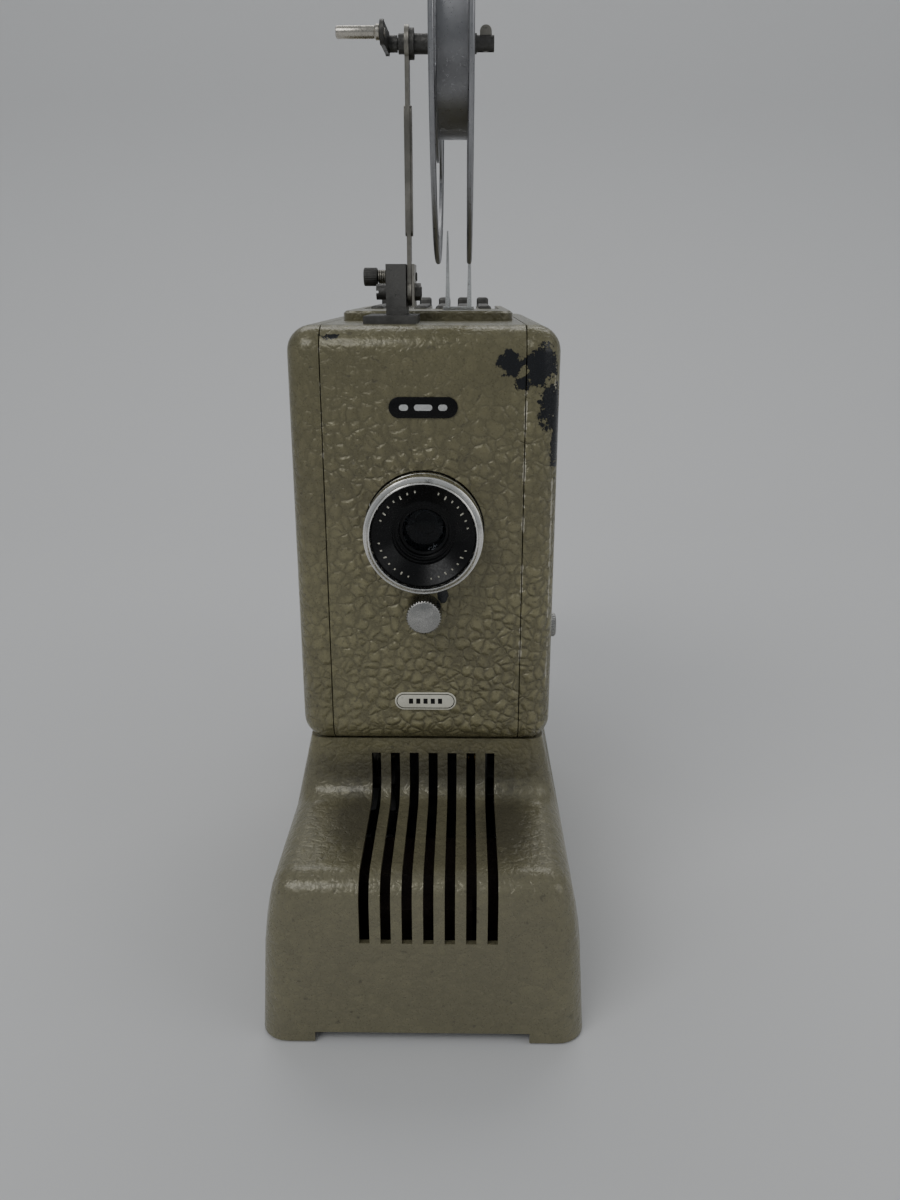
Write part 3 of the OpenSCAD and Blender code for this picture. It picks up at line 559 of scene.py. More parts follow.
def stained(name, colour, metallic, low_rough, high_rough, stain=0.5, relief=0.25, coat=0.0,
            specular=0.5):
    """A plain finish with broad stains, fine grain and specks."""
    material, tree, place = start(name)
    grain = use(tree, "grain", {"Vector": place, "Stain Scale": 60.0, "Grain Scale": 1400.0})
    tone = mix(tree, grain["Stain"], shade_of(colour, 1.0 + stain * 0.35),
               shade_of(colour, 1.0 - stain * 0.5))
    tone = layer(tree, grain["Speck"], 0.5, tone, shade_of(colour, 0.35))
    rough = node(tree, "MapRange", {0: grain["Grain"], 1: 0.0, 2: 1.0, 3: low_rough, 4: high_rough})
    normal = bump(tree, grain["Grain"], relief, 0.0001)
    shader(tree, Base_Color=tone, Roughness=rough.outputs[0], Metallic=metallic, Normal=normal,
           Coat_Weight=coat, Coat_Roughness=0.1, Specular_IOR_Level=specular)
    return material


def turned_metal(name, colour, axis, centre, rough=0.24, pitch=0.00022, relief=0.35, brushed=0.0):
    """Bright metal with tool marks in rings about an axis along X or Y through the centre."""
    material, tree, place = start(name)
    squash = (0, 1, 1) if axis == "X" else (1, 0, 1)
    flat = vector(tree, "MULTIPLY", vector(tree, "SUBTRACT", place, Vector(centre)), squash)
    rings = use(tree, "rings", {"Vector": flat, "Pitch": pitch})
    grain = use(tree, "grain", {"Vector": place, "Stain Scale": 90.0, "Grain Scale": 1600.0})
    tone = mix(tree, rings["Streak"], shade_of(colour, 1.12), shade_of(colour, 0.8))
    tone = layer(tree, grain["Stain"], 0.35, tone, shade_of(colour, 0.55))
    level = node(tree, "MapRange", {0: grain["Grain"], 1: 0.0, 2: 1.0, 3: rough - 0.06, 4: rough + 0.12})
    normal = bump(tree, rings["Height"], relief, 0.00006)
    made = shader(tree, Base_Color=tone, Roughness=level.outputs[0], Metallic=1.0, Normal=normal,
                  Anisotropic=brushed)
    if brushed:
        round_it = node(tree, "Tangent", direction_type="RADIAL", axis=axis)
        tree.links.new(round_it.outputs[0], made.inputs["Tangent"])
    return material


def glass(name, colour, rough=0.03):
    material, tree, place = start(name)
    grain = use(tree, "grain", {"Vector": place, "Stain Scale": 120.0, "Grain Scale": 900.0})
    tone = layer(tree, grain["Stain"], 0.2, colour, shade_of(colour[:3], 0.85))
    level = maths(tree, "ADD", rough, product(tree, grain["Speck"], 0.04))
    shader(tree, Base_Color=tone, Roughness=level, Metallic=0.0, IOR=1.28, Transmission_Weight=1.0)
    return material


def middle(name):
    low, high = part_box(name)
    return (Vector(low) + Vector(high)) / 2


def metal_settings():
    return bpy.context.scene.projector_metal


FINISHES = {
    "hammertone_paint": lambda n: hammertone(n),
    "dark_steel": lambda n: stained(n, metal_settings().dark, 0.75, 0.38, 0.6, 0.7, 0.4),
    "arm_steel": lambda n: stained(n, metal_settings().nickel, 1.0, 0.28, 0.48, 0.6, 0.2),
    "turned_aluminium": lambda n: turned_metal(n, shade_of(metal_settings().aluminium, 1.25)[:3], "Y",
                                               middle("lens_barrel"), 0.17, 0.0005, 0.12),
    "reel_metal": lambda n: turned_metal(n, metal_settings().reel, "X", middle("feed_reel"), 0.34, 0.0006,
                                         0.2),
    "crank_nickel": lambda n: stained(n, (0.52, 0.49, 0.43), 1.0, 0.2, 0.36, 0.35, 0.1),
    "bright_spring": lambda n: stained(n, (0.74, 0.74, 0.72), 1.0, 0.12, 0.26, 0.3, 0.1),
    "black_lacquer": lambda n: stained(n, (0.003, 0.003, 0.0033), 0.0, 0.24, 0.36, 0.6, 0.1, 0.0, 0.22),
    "cream_badge": lambda n: stained(n, (0.62, 0.60, 0.50), 0.0, 0.2, 0.34, 0.25, 0.05, 0.4),
    "cast_grey": lambda n: stained(n, (0.16, 0.16, 0.155), 0.5, 0.45, 0.65, 0.5, 0.6),
    "brass": lambda n: stained(n, metal_settings().brass, 1.0, 0.2, 0.4, 0.5, 0.15),
    # Glass tinted dark grey: painted shade that stands in for the dark inside of the lens
    "optical_glass": lambda n: glass(n, (0.35, 0.38, 0.42, 1), 0.01),
    "mirror_silver": lambda n: stained(n, (0.88, 0.88, 0.87), 1.0, 0.03, 0.08, 0.1, 0.02),
    "black_plastic": lambda n: stained(n, (0.016, 0.013, 0.011), 0.0, 0.22, 0.4, 0.4, 0.08, 0.25),
    "switch_chrome": lambda n: stained(n, (0.75, 0.75, 0.74), 1.0, 0.08, 0.2, 0.2, 0.05),
    "belt_steel": lambda n: stained(n, (0.025, 0.025, 0.024), 0.0, 0.6, 0.85, 0.5, 0.4),
    "foot_rubber": lambda n: stained(n, (0.018, 0.018, 0.018), 0.0, 0.7, 0.9, 0.4, 0.4),
    "winding": lambda n: stained(n, (0.022, 0.014, 0.010), 0.0, 0.4, 0.6, 0.6, 0.6, 0.1),
}


def finish(slot):
    """The finish of a material slot, made the first time it is asked for."""
    name = slot + "_finish"
    return bpy.data.materials.get(name) or FINISHES[slot](name)


# ------------------------------------------------------------------ base

def base_block(name, shape, inset=0.0):
    """Solid base: lower block, neck drawn up from its top, planes for the leaning sides, rounded edges."""
    low, high = (Vector(v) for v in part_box("base_shell"))
    low += Vector((inset, inset, -3 * inset))
    high -= Vector((inset, inset, inset))
    shelf = 63.5 * MM - inset
    neck = at(0, 5, 0).y + inset
    piece = box(name, low, (high.x, high.y, shelf))
    only(piece)
    bpy.ops.object.mode_set(mode="EDIT")
    bpy.ops.mesh.select_all(action="SELECT")
    bpy.ops.mesh.bisect(plane_co=(0, neck, 0), plane_no=(0, 1, 0))
    select_faces(piece, lambda f: f.normal.z > 0.9 and f.center.y > neck)
    bpy.ops.mesh.extrude_region_move(TRANSFORM_OT_translate={"value": (0, 0, high.z - shelf)})
    bpy.ops.object.mode_set(mode="OBJECT")
    for side in (-1, 1):
        slice_off(piece, (side * (52.7 * MM - inset), 0, 44 * MM), (side * 43, 0, 9.7))
        slice_off(piece, (side * high.x, 0, low.z), (side * 42, 0, 2.6))
    slice_off(piece, (0, low.y, low.z), (0, -50, 0.6))
    slice_off(piece, at(0, 165 - inset / MM, 48), (0, 39, 15))
    bevel_weighted(piece, lambda a, b: base_edge_weight(a, b, low, high, shelf, neck),
                   shape.base_edge - inset, 7, use_clamp_overlap=False)
    return piece


def base_edge_weight(a, b, low, high, shelf, neck):
    """How round each edge of the base is, as a share of the largest radius."""
    mid = (a + b) / 2
    along = (b - a).normalized()
    if mid.z > high.z - 0.001 or mid.z < low.z + 0.001:
        return 0.0
    if abs(along.z) > 0.8:
        if abs(mid.y - neck) < 0.001:
            return 0.5
        return 0.95
    if abs(along.x) > 0.8:
        if abs(mid.y - neck) < 0.001:
            return 0.85
        return 0.95 if mid.y < neck else 0.6
    if abs(mid.z - shelf) < 0.002:
        return 0.75
    return 0.9


class PROJECTOR_OT_base(bpy.types.Operator):
    """Painted base: one shell with a louvre down its front and slots in its flanks"""
    bl_idname = "projector.base"
    bl_label = "Base"

    def execute(self, context):
        shape = context.scene.projector_shape
        piece = base_block("base_shell_painted", shape)
        cut(piece, base_block("cutter", shape, shape.wall))
        front = [2.4 + 7.03 * k for k in range(-3, 4)]
        for rear, lowest, front_end, highest in ((-40, 56, 12, 81), (-60, 40, -39, 70)):
            cutters = [box("cutter", at(x - 1.7, rear, lowest), at(x + 1.7, front_end, highest))
                       for x in front]
            cut(piece, join("cutters", cutters))
        for left, right in ((-60, -40), (40, 60)):
            cut(piece, join("cutters", [box("cutter", at(left, 13.4 + 7 * k, 55), at(right, 16.6 + 7 * k, 83))
                                        for k in range(9)]))
        cut(piece, box("cutter", at(-60, -60, -10), at(60, 170, 0.8)))
        cut(piece, box("cutter", at(-36.5, -60, -1), at(36.5, 170, 4.5)))
        cut(piece, box("cutter", at(-60, -28, -1), at(60, 142, 4.5)))
        cut(piece, join("cutters", [box("cutter", at(-36, 22, 80), at(36, 140, 90)),
                                    box("cutter", at(-38, 150, 20), at(-22, 170, 36)),
                                    rod("cutter", "Y", at(0, 162, 30), 16 * MM, 6.2 * MM),
                                    rod("cutter", "Y", at(28, 162, 32), 16 * MM, 3.2 * MM)]))
        cut(piece, box("cutter", at(-27, 130, 56), at(-18, 170, 84)))
        smooth(piece, 30)
        fit(piece, "chassis", "hammertone_paint", "base_shell")
        return {"FINISHED"}


# ------------------------------------------------------------------ body

SEAM = 33.3


def rounded_body(name, shape):
    piece = box(name, at(-45, 0, BODY_BOTTOM / MM), (45 * MM, BODY_HIGH.y, BODY_TOP))
    apply(piece, "BEVEL", width=shape.body_edge, segments=9, limit_method="NONE")
    return piece


def shell(piece, shape, lip=0.00025):
    """Gives an open skin its wall, inwards, and breaks the wall's rim a little."""
    apply(piece, "SOLIDIFY", thickness=shape.wall, offset=-1, use_even_offset=True)
    bevel(piece, lip, 2, 60)


class PROJECTOR_OT_body(bpy.types.Operator):
    """Painted body between its two seams, with its openings"""
    bl_idname = "projector.body"
    bl_label = "Body"

    def execute(self, context):
        shape = context.scene.projector_shape
        piece = rounded_body("body_shell_painted", shape)
        slice_off(piece, at(SEAM, 0, 0), (1, 0, 0), fill=False)
        slice_off(piece, at(-SEAM, 0, 0), (-1, 0, 0), fill=False)
        shell(piece, shape)
        cutters = [
            rod("cutter", "Y", LENS_LINE, 8 * MM, 20.4 * MM, 96),
            rod("cutter", "Y", FOCUS_LINE, 8 * MM, 1.7 * MM),
            box("cutter", at(-31.5, 24, 84), at(-21, 104, 91)),
            box("cutter", at(-13, 64, 84), at(30, 140, 91)),
            box("cutter", at(-28, 84, 230), at(28, 142, 236)),
            box("cutter", at(5, 58, 230), at(17, 73, 236)),
            box("cutter", at(-6, 151, 93), at(6, 157, 100)),
        ]
        cutters += [box("cutter", at(-26, 151, z), at(26, 157, z + 3)) for z in range(150, 207, 7)]
        cut(piece, join("cutters", cutters))
        smooth(piece, 30)
        fit(piece, "chassis", "hammertone_paint", "body_shell")
        return {"FINISHED"}


def side_cover(name, side, shape):
    piece = rounded_body(name, shape)
    slice_off(piece, at(side * (SEAM + 0.25), 0, 0), (-side, 0, 0), fill=False)
    shell(piece, shape)
    cutters = []
    for k in range(6):
        left, right = sorted((side * 40.5, side * 47))
        cutters.append(box("cutter", at(left, 62 + 7 * k, 227.5), at(right, 65.5 + 7 * k, 231.5)))
    return piece, cutters


class PROJECTOR_OT_covers(bpy.types.Operator):
    """Left cover and the hinged door on the right, with its knuckles"""
    bl_idname = "projector.covers"
    bl_label = "Side covers"

    def execute(self, context):
        shape = context.scene.projector_shape
        left, cutters = side_cover("left_cover_painted", -1, shape)
        for y in (18, 137):
            for z in (102, 219):
                cutters.append(rod("cutter", "X", at(-44, y, z), 8 * MM, 1.5 * MM, 24))
        cut(left, join("cutters", cutters))
        smooth(left, 30)
        fit(left, "chassis", "hammertone_paint", "left_cover")
        door, cutters = side_cover("door_painted", 1, shape)
        cutters.append(rod("cutter", "X", at(44, 50, 116), 8 * MM, 6.4 * MM, 48))
        cut(door, join("cutters", cutters))
        parts = [door]
        for z in (112, 209):
            knuckle = turned_upright(at(33.425, 157.4, z), 2.1, 1.25, 7.4)
            tab = box("tab", at(34.2, 154.6, z - 3.7), at(36.8, 156.6, z + 3.7))
            bevel(tab, 0.3 * MM, 2)
            parts += [knuckle, tab]
        door = join("door_painted", parts)
        smooth(door, 30)
        fit(door, "door", "hammertone_paint", "door")
        return {"FINISHED"}


def turned_upright(centre, radius, bore, length):
    """A short upright tube, in millimetres, about its centre."""
    tube = rod("tube", "Z", centre, length * MM, radius * MM, 32)
    cut(tube, rod("cutter", "Z", centre, (length + 2) * MM, bore * MM, 32))
    return tube


class PROJECTOR_OT_lid(bpy.types.Operator):
    """Raised ventilation lid with slots that run out of its rear"""
    bl_idname = "projector.lid"
    bl_label = "Ventilation lid"

    def execute(self, context):
        low, high = (Vector(v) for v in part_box("vent_lid"))
        corner_radius, pitch = 6 * MM, 8.6
        piece = box("vent_lid_painted", low, high)
        bevel_weighted(piece, along_axis("Z"), corner_radius, 8)
        select_faces(piece, lambda f: f.normal.z > 0.9)
        bpy.ops.mesh.inset(thickness=1.0 * MM)
        bpy.ops.object.mode_set(mode="OBJECT")
        centre = (low + high) / 2
        half = (high - low) / 2
        near = 1e-5
        for vertex in [v for v in piece.data.vertices if v.co.z > high.z - near]:
            across, down = abs(vertex.co.x - centre.x), abs(vertex.co.y - centre.y)
            on_rim = across > half.x - near or down > half.y - near
            corner = Vector((across - (half.x - corner_radius), down - (half.y - corner_radius)))
            on_arc = min(corner) > 0 and corner.length > corner_radius - 0.1 * MM
            if on_rim or on_arc:
                vertex.co.z -= 0.8 * MM
        cut(piece, box("cutter", (-29 * MM, low.y + 2 * MM, low.z - MM),
                       (29 * MM, high.y - 2 * MM, low.z + 1.8 * MM)))
        cutters = [box("cutter", at(k * pitch - 1.45, 84, 235), at(k * pitch + 1.45, 152, 240))
                   for k in range(-3, 4)]
        cut(piece, join("cutters", cutters + [box("cutter", at(5, 58, 230), at(17, 80, 240))]))
        smooth(piece, 30)
        fit(piece, "chassis", "hammertone_paint", "vent_lid")
        ribs = []
        for k in range(6):
            x = (k - 2.5) * pitch
            rib = box("rib", at(x - 2.5, 84.5, 236.4), at(x + 2.5, 149, 238.6))
            bevel(rib, 1.0 * MM, 4, 60)
            tooth = box("tooth", at(x - 2.6, 139, 236.4), at(x + 2.6, 149.4, 241.2))
            bevel(tooth, 1.2 * MM, 5, 60)
            ribs += [rib, tooth]
        ribs = join("vent_lid_ribs", ribs)
        smooth(ribs, 40)
        fit(ribs, "chassis", "dark_steel")
        return {"FINISHED"}


def pill(name, centre, width, height, depth):
    """A plate with round ends that faces forwards, in millimetres."""
    piece = box(name, Vector(centre) - Vector((width, depth, height)) * MM / 2,
                Vector(centre) + Vector((width, depth, height)) * MM / 2)
    bevel_weighted(piece, along_axis("Y"), height * MM * 0.499, 12)
    return piece


class PROJECTOR_OT_badges(bpy.types.Operator):
    """Two enamelled pills on the front, with a plain ornament on each"""
    bl_idname = "projector.badges"
    bl_label = "Badges"

    def execute(self, context):
        upper = middle("upper_badge")
        plate = pill("upper_badge_plate", upper, 22.6, 6.8, 0.5)
        bevel(plate, 0.15 * MM, 2, 60)
        smooth(plate)
        fit(plate, "chassis", "black_lacquer", "upper_badge")
        marks = []
        for offset, width in ((-6.4, 3.0), (0, 6.0), (6.4, 3.0)):
            marks.append(pill("mark", upper + Vector((offset, -0.22, 0)) * MM, width, 2.0, 0.1))
        marks = join("upper_badge_marks", marks)
        fit(marks, "chassis", "bright_spring")
        lower = middle("lower_badge")
        plate = pill("lower_badge_plate", lower, 22, 6.7, 0.5)
        bevel(plate, 0.15 * MM, 2, 60)
        smooth(plate)
        fit(plate, "chassis", "cream_badge", "lower_badge")
        ring = pill("mark", lower + Vector((0, -0.22, 0)) * MM, 20.8, 5.6, 0.1)
        cut(ring, pill("cutter", lower + Vector((0, -0.22, 0)) * MM, 20.2, 5.0, 0.4))
        marks = [ring]
        for k in range(-2, 3):
            corner = lower + Vector((k * 2.6, -0.22, 0)) * MM
            half = Vector((0.75, 0.05, 1.0)) * MM
            marks.append(box("mark", corner - half, corner + half))
        marks = join("lower_badge_marks", marks)
        fit(marks, "chassis", "black_lacquer")
        for piece in (bpy.data.objects["upper_badge_marks"], bpy.data.objects["lower_badge_marks"]):
            piece.data.polygons.foreach_set("use_smooth", [False] * len(piece.data.polygons))
        return {"FINISHED"}


# ------------------------------------------------------------------ lens and knobs

class PROJECTOR_OT_lens(bpy.types.Operator):
    """Bright lens ring, black cone with plain ticks, and the glasses"""
    bl_idname = "projector.lens"
    bl_label = "Lens"

    def execute(self, context):
        axis = LENS_LINE
        barrel = turned("lens_ring", "Y", axis, [
            (17.4, -8.9), (17.4, 18), (12.2, 18), (12.2, 27.5), (20.0, 27.5), (20.0, -3.4), (19.75, -3.5),
            (19.75, -3.9), (20.0, -4.0), (20.0, -8.9), (19.9, -9.3), (19.7, -9.45), (19.45, -9.4),
            (18.35, -10.6), (18.25, -10.85), (18.05, -11.0), (17.75, -10.9), (17.5, -10.5),
            (17.4, -9.9)], 128)
        lug = box("lug", at(-4, 24.5, 135), at(4, 27.5, 152))
        cut(lug, rod("cutter", "Y", at(0, 26, 139), 8 * MM, 1.56 * MM))
        barrel = join("lens_ring", [barrel, lug])
        smooth(barrel, 28)
        fit(barrel, "lens", "turned_aluminium", "lens_barrel")
        cone = turned("lens_cone_black", "Y", axis, [
            (17.39, -9.0), (17.2, -9.2), (16.9, -9.2), (10.9, -5.2), (10.7, -5.2), (10.7, -4.2), (9.9, -4.2),
            (9.9, -3.2), (9.1, -3.2), (9.1, -2.2), (8.6, -2.0), (8.3, -0.9), (7.4, -0.6), (7.4, -0.3),
            (8.25, 0.0), (8.25, 8), (17.39, 8)], 128)
        smooth(cone, 22)
        fit(cone, "lens", "black_lacquer", "lens_cone")
        ticks = []
        for k in range(36):
            if k % 9 in (0, 8):
                continue
            half = 1.35 if k % 3 == 0 else 0.8
            tick = box("tick", Vector((-0.24, -0.05, -half)) * MM, Vector((0.24, 0.05, half)) * MM)
            only(tick)
            bpy.ops.transform.rotate(value=math.atan2(4.0, 6.0), orient_axis="X", center_override=(0, 0, 0))
            bpy.ops.transform.translate(value=(0, -8.17 * MM, 15.3 * MM))
            bpy.ops.transform.rotate(value=math.radians(10 * k), orient_axis="Y", center_override=(0, 0, 0))
            bpy.ops.transform.translate(value=axis)
            ticks.append(settle(tick))
        ticks = join("lens_ticks", ticks)
        fit(ticks, "lens", "cream_badge")
        # Black disc inside the barrel: a dark piece put there for the shade inside the lens
        shadow_disc = turned("lens_shadow_disc", "Y", axis, [(3.2, 10.0), (3.6, 9.4), (17.39, 9.4), (17.39, 10.8),
                                               (3.6, 10.8)], 64)
        smooth(shadow_disc, 30)
        fit(shadow_disc, "lens", "black_lacquer")
        glasses = join("lens_glasses", [
            turned("glass", "Y", axis, lens_profile(3.0, 8.2, 26), 64),
            turned("glass", "Y", axis, lens_profile(21.0, 12.0, 44), 64)])
        smooth(glasses, 60)
        fit(glasses, "lens", "optical_glass", "lens_elements")
        return {"FINISHED"}


def lens_profile(middle_y, radius, curve):
    """Half the outline of a lens with two equal curved faces, from pole to pole, in millimetres."""
    half = 2.2
    side = [(radius * k / 8, half - (curve - math.sqrt(curve ** 2 - (radius * k / 8) ** 2)))
            for k in range(9)]
    front = [(r, middle_y - d) for r, d in side]
    back = [(r, middle_y + d) for r, d in reversed(side)]
    return front + back


def knurled(name, axis, origin, profile, grooves, depth=0.25):
    """A turned knob whose widest band carries grooves round it."""
    piece = turned(name, axis, origin, profile, grooves * 4)
    widest = max(radius for radius, _ in profile) * MM
    centre = Vector(origin)
    along = 0 if axis == "X" else 1
    for vertex in piece.data.vertices:
        offset = vertex.co - centre
        offset[along] = 0
        if offset.length > widest - 1e-5:
            first, second = (offset.y, offset.z) if axis == "X" else (offset.x, offset.z)
            turn = math.atan2(second, first) / (2 * math.pi) * grooves
            shrink = depth * MM * 0.5 * (1 + math.cos(2 * math.pi * turn))
            pull = offset * (shrink / offset.length)
            vertex.co -= pull
    return piece


class PROJECTOR_OT_knobs(bpy.types.Operator):
    """Focus knob, inching knob, clamp screw and crank handle"""
    bl_idname = "projector.knobs"
    bl_label = "Knobs"

    def execute(self, context):
        grooves = context.scene.projector_shape.knurls
        focus = knurled("focus_knob_turned", "Y", FOCUS_LINE, [
            (0, -10.0), (5.3, -10.0), (5.5, -9.9), (5.6, -9.75), (6.0, -9.6), (6.0, -1.4), (5.75, -1.2),
            (5.4, -0.8), (0, -0.8)], grooves, 0.45)
        smooth(focus, 30)
        fit(focus, "focus", "turned_aluminium", "focus_knob").data.materials[0] = knob_metal(
            "focus_knob_metal", "Y", FOCUS_LINE)
        inching = knurled("inching_knob_turned", "X", INCHING_LINE, [
            (0, 43.5), (4.5, 43.5), (4.8, 43.8), (4.8, 49.6), (4.6, 50.1), (4.1, 50.5), (0, 50.5)], 30)
        smooth(inching, 30)
        fit(inching, "cam", "turned_aluminium", "inching_knob").data.materials[0] = knob_metal(
            "inching_knob_metal", "X", INCHING_LINE)
        head = at(0, 36.9, 249)
        screw = knurled("clamp_screw_knurled", "X", head, [
            (0, -21.8), (2.7, -21.8), (3.0, -21.6), (3.1, -21.4), (3.1, -17.4), (2.9, -17.1), (2.6, -17.0),
            (1.5, -17.0), (1.5, -3.4), (1.3, -3.2), (0, -3.2)], 24, 0.18)
        smooth(screw, 30)
        fit(screw, "clamp", "dark_steel", "clamp_screw")
        grip = turned("crank_handle_turned", "X", CRANK_LINE, [
            (0, -25.7), (1.3, -25.7), (1.65, -25.5), (1.8, -25.1), (1.8, -14.4), (1.7, -14.1), (2.2, -13.6),
            (2.2, -12.7), (1.9, -12.4), (1.15, -12.4), (1.15, -10.9), (0, -10.9)], 48)
        smooth(grip, 30)
        fit(grip, "feed", "turned_aluminium", "crank_handle").data.materials[0] = finish("crank_nickel")
        return {"FINISHED"}


def knob_metal(name, axis, centre):
    """Brushed end face of a knob."""
    colour = shade_of(metal_settings().aluminium, 0.62)[:3]
    return turned_metal(name, colour, axis, centre, 0.26, 0.0006, 0.6, 0.9)


# ------------------------------------------------------------------ feed arm

# Half the angle that a window of a reel takes up, in degrees
WINDOW_HALF = 51.3


def window_cutter(axis, turn):
    """A ring sector that cuts one window out of both flanges."""
    ring = turned("cutter", "X", axis, [(35, -3), (58, -3), (58, 17), (35, 17)], 96)
    for lean in (turn + WINDOW_HALF, turn - WINDOW_HALF):
        side = 1 if lean > turn else -1
        normal = (0, -side * math.sin(math.radians(lean)), side * math.cos(math.radians(lean)))
        slice_off(ring, axis, normal)
    middle_way = Vector((math.cos(math.radians(turn)), math.sin(math.radians(turn))))

    def corner(a, b):
        """The window's four corners: edges along the axis that lie on its two straight sides."""
        if not along_axis("X")(a, b):
            return 0.0
        lean = math.degrees(Vector(((a - axis).y, (a - axis).z)).angle_signed(middle_way))
        return 1.0 if abs(abs(lean) - WINDOW_HALF) < 0.5 else 0.0

    bevel_weighted(ring, corner, 4 * MM, 5)
    return ring


def pressed_reel(name, body, axis, replaced):
    """Two windowed flanges with rolled rims, a pressed rib and a hollow hub, about an axis along X."""
    flanges = []
    for start_x, out in ((0.0, 1), (11.4, -1)):
        rim = [(66.1 + 0.9 * math.cos(math.radians(a)), 0.4 + 0.9 * math.sin(math.radians(a)))
               for a in range(-155, 156, 31)]
        inner = [(rim[0][0], 0.0), (31.4, 0.0), (30.6, -0.35), (29.4, -0.35), (28.6, 0.0), (3.05, 0.0),
                 (3.05, 0.8), (28.4, 0.8), (29.2, 0.45), (30.8, 0.45), (31.6, 0.8), (rim[-1][0], 0.8)]
        outline = [(r, start_x + (d if out > 0 else -d)) for r, d in inner + rim[::-1]]
        flanges.append(turned("flange", "X", axis, outline, 144))
    reel = join(name, flanges)
    for turn in (30, 150, 270):
        cut(reel, window_cutter(axis, turn))
    hub = turned("hub", "X", axis, [(26.8, 0.5), (28.0, 0.5), (28.0, 10.9), (26.8, 10.9)], 96)
    core = turned("core", "X", axis, [(3.05, 0.5), (6.0, 0.5), (6.0, 10.9), (3.05, 10.9)], 48)
    reel = join(name, [reel, hub, core])
    smooth(reel, 35)
    fit(reel, body, "reel_metal", replaced)
    reel.data.materials[0] = turned_metal(name + "_metal", metal_settings().reel, "X", axis, 0.33, 0.0006,
                                          0.2)
    return reel


class PROJECTOR_OT_reels(bpy.types.Operator):
    """Feed reel and take-up reel: windowed flanges on hollow hubs"""
    bl_idname = "projector.reels"
    bl_label = "Reels"

    def execute(self, context):
        pressed_reel("feed_reel_pressed", "feed", at(3.9, 31, 320), "feed_reel")
        pressed_reel("takeup_reel_pressed", "takeup", at(3.9, 235, 112), "takeup_reel")
        return {"FINISHED"}


class PROJECTOR_OT_arm(bpy.types.Operator):
    """Spring under the clamp screw, as a real coil"""
    bl_idname = "projector.arm"
    bl_label = "Feed arm"

    def execute(self, context):
        low, high = (Vector(v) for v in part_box("clamp_spring"))
        wire = 0.35 * MM
        start_at = Vector((low.x + wire, (low.y + high.y) / 2, (low.z + high.z) / 2))
        deselect()
        bpy.ops.mesh.primitive_circle_add(vertices=12, radius=wire, location=start_at)
        spring = bpy.context.active_object
        bpy.ops.object.mode_set(mode="EDIT")
        bpy.ops.mesh.select_mode(type="VERT")
        bpy.ops.mesh.select_all(action="SELECT")
        bpy.ops.transform.rotate(value=math.pi / 2, orient_axis="X", center_override=start_at)
        bpy.ops.transform.translate(value=(0, 0, 2.05 * MM))
        bpy.ops.object.mode_set(mode="OBJECT")
        apply(spring, "SCREW", axis="X", angle=2 * math.pi * 4.5, screw_offset=high.x - low.x - 2 * wire,
              steps=108, render_steps=108, use_merge_vertices=False)
        bpy.ops.object.mode_set(mode="EDIT")
        bpy.ops.mesh.select_all(action="DESELECT")
        bpy.ops.mesh.select_non_manifold()
        bpy.ops.mesh.edge_face_add()
        bpy.ops.mesh.select_all(action="SELECT")
        bpy.ops.mesh.normals_make_consistent(inside=False)
        bpy.ops.object.mode_set(mode="OBJECT")
        settle(spring, "clamp_spring_coil")
        smooth(spring, 60)
        fit(spring, "clamp", "arm_steel", "clamp_spring")
        return {"FINISHED"}


class PROJECTOR_OT_finishes(bpy.types.Operator):
    """Gives every CAD node that stays its finish, by its material slot"""
    bl_idname = "projector.finishes"
    bl_label = "Finishes of the CAD pieces"

    def execute(self, context):
        slots = {part["node"]: part["material_slot"] for part in frame["record"]["subparts"]}
        for name, piece in frame["nodes"].items():
            material = finish(slots[name])
            for slot in piece.material_slots:
                slot.material = material
        return {"FINISHED"}


# ------------------------------------------------------------------ stage

def area_light(name, place, aim, size, power, colour=(1, 1, 1)):
    deselect()
    bpy.ops.object.light_add(type="AREA", location=place)
    lamp = bpy.context.active_object
    lamp.name = name
    lamp.data.shape = "RECTANGLE"
    lamp.data.size, lamp.data.size_y = size
    lamp.data.energy = power
    lamp.data.color = colour
    lamp.rotation_euler = (Vector(aim) - Vector(place)).to_track_quat("-Z", "Y").to_euler()


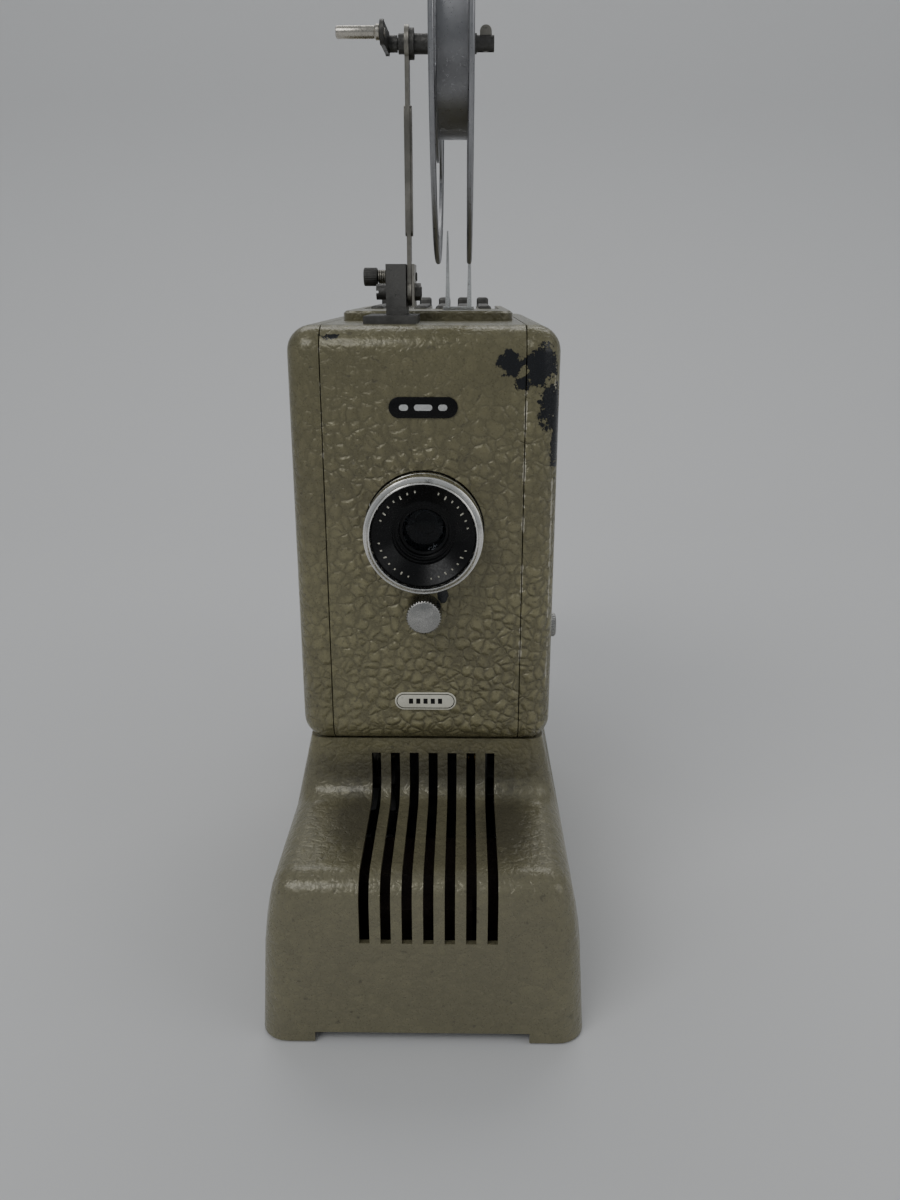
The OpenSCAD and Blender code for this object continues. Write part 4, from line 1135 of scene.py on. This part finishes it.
class PROJECTOR_OT_stage(bpy.types.Operator):
    """Pale floor that sweeps up behind, soft light and the camera"""
    bl_idname = "projector.stage"
    bl_label = "Stage"

    def execute(self, context):
        stage = context.scene.projector_stage
        deselect()
        bpy.ops.mesh.primitive_plane_add(size=8, location=(0, -2.9, 0))
        floor = bpy.context.active_object
        floor.name = "floor"
        bpy.ops.object.mode_set(mode="EDIT")
        bpy.ops.mesh.select_mode(type="EDGE")
        bpy.ops.mesh.select_all(action="DESELECT")
        bpy.ops.object.mode_set(mode="OBJECT")
        for edge in floor.data.edges:
            edge.select = all(floor.data.vertices[v].co.y > 1 for v in edge.vertices)
        bpy.ops.object.mode_set(mode="EDIT")
        bpy.ops.mesh.extrude_region_move(TRANSFORM_OT_translate={"value": (0, 0, 4)})
        bpy.ops.object.mode_set(mode="OBJECT")
        apply(floor, "BEVEL", width=0.5, segments=20, limit_method="ANGLE")
        smooth(floor, 60)
        material, tree, place = start("floor_paper")
        grain = use(tree, "grain", {"Vector": place, "Stain Scale": 1.2, "Grain Scale": 300.0})
        tone = layer(tree, grain["Stain"], 0.1, tuple(stage.floor_tone) + (1,),
                   shade_of(stage.floor_tone, 0.95))
        shader(tree, Base_Color=tone, Roughness=0.9)
        floor.data.materials.append(material)
        area_light("key_left", (-0.75, -1.2, 1.3), (0, -0.1, 0.15), (1.0, 0.8), 8)
        area_light("fill_right", (1.3, -0.7, 0.8), (0, 0, 0.15), (1.0, 1.0), 3)
        area_light("sky_behind", (0.0, 1.0, 1.5), (0, 0, 0.2), (2.0, 1.0), 13)
        world = bpy.data.worlds.new("studio")
        context.scene.world = world
        world.use_nodes = True
        world.node_tree.nodes["Background"].inputs[0].default_value = (0.62, 0.65, 0.68, 1)
        world.node_tree.nodes["Background"].inputs[1].default_value = 0.48
        deselect()
        bpy.ops.object.camera_add(location=at(13.3, -321, 245.6),
                                  rotation=(math.pi / 2 - stage.pitch, 0, stage.heading))
        camera = bpy.context.active_object
        camera.name = "camera"
        camera.data.lens = stage.lens
        camera.data.sensor_width = 36
        camera.data.clip_start = 0.01
        context.scene.camera = camera
        return {"FINISHED"}


class PROJECTOR_PT_panel(bpy.types.Panel):
    """Lists the projector's settings and pieces"""
    bl_label = "Film Projector"
    bl_idname = "PROJECTOR_PT_panel"
    bl_space_type = "VIEW_3D"
    bl_region_type = "UI"
    bl_category = "Projector"

    def draw(self, context):
        layout = self.layout
        for settings in SETTINGS:
            group = getattr(context.scene, settings)
            column = layout.column(align=True)
            for name in group.bl_rna.properties.keys():
                if name not in ("rna_type", "name"):
                    column.prop(group, name)
        for operator in OPERATORS:
            layout.operator(operator.bl_idname)


SETTINGS = {"projector_paint": ProjectorPaint, "projector_metal": ProjectorMetal,
            "projector_shape": ProjectorShape, "projector_stage": ProjectorStage}
OPERATORS = (PROJECTOR_OT_stage, PROJECTOR_OT_base, PROJECTOR_OT_body, PROJECTOR_OT_covers, PROJECTOR_OT_lid,
             PROJECTOR_OT_badges, PROJECTOR_OT_lens, PROJECTOR_OT_knobs, PROJECTOR_OT_reels, PROJECTOR_OT_arm,
             PROJECTOR_OT_finishes)


def register():
    for name, group in SETTINGS.items():
        bpy.utils.register_class(group)
        setattr(bpy.types.Scene, name, PointerProperty(type=group))
    for operator in OPERATORS:
        bpy.utils.register_class(operator)
    bpy.utils.register_class(PROJECTOR_PT_panel)


def unregister():
    bpy.utils.unregister_class(PROJECTOR_PT_panel)
    for operator in reversed(OPERATORS):
        bpy.utils.unregister_class(operator)
    for name, group in SETTINGS.items():
        delattr(bpy.types.Scene, name)
        bpy.utils.unregister_class(group)


def main():
    register()
    bpy.ops.projector.stage()
    bpy.ops.projector.base()
    bpy.ops.projector.body()
    bpy.ops.projector.covers()
    bpy.ops.projector.lid()
    bpy.ops.projector.badges()
    bpy.ops.projector.lens()
    bpy.ops.projector.knobs()
    bpy.ops.projector.reels()
    bpy.ops.projector.arm()
    bpy.ops.projector.finishes()


if __name__ == "__main__":
    main()
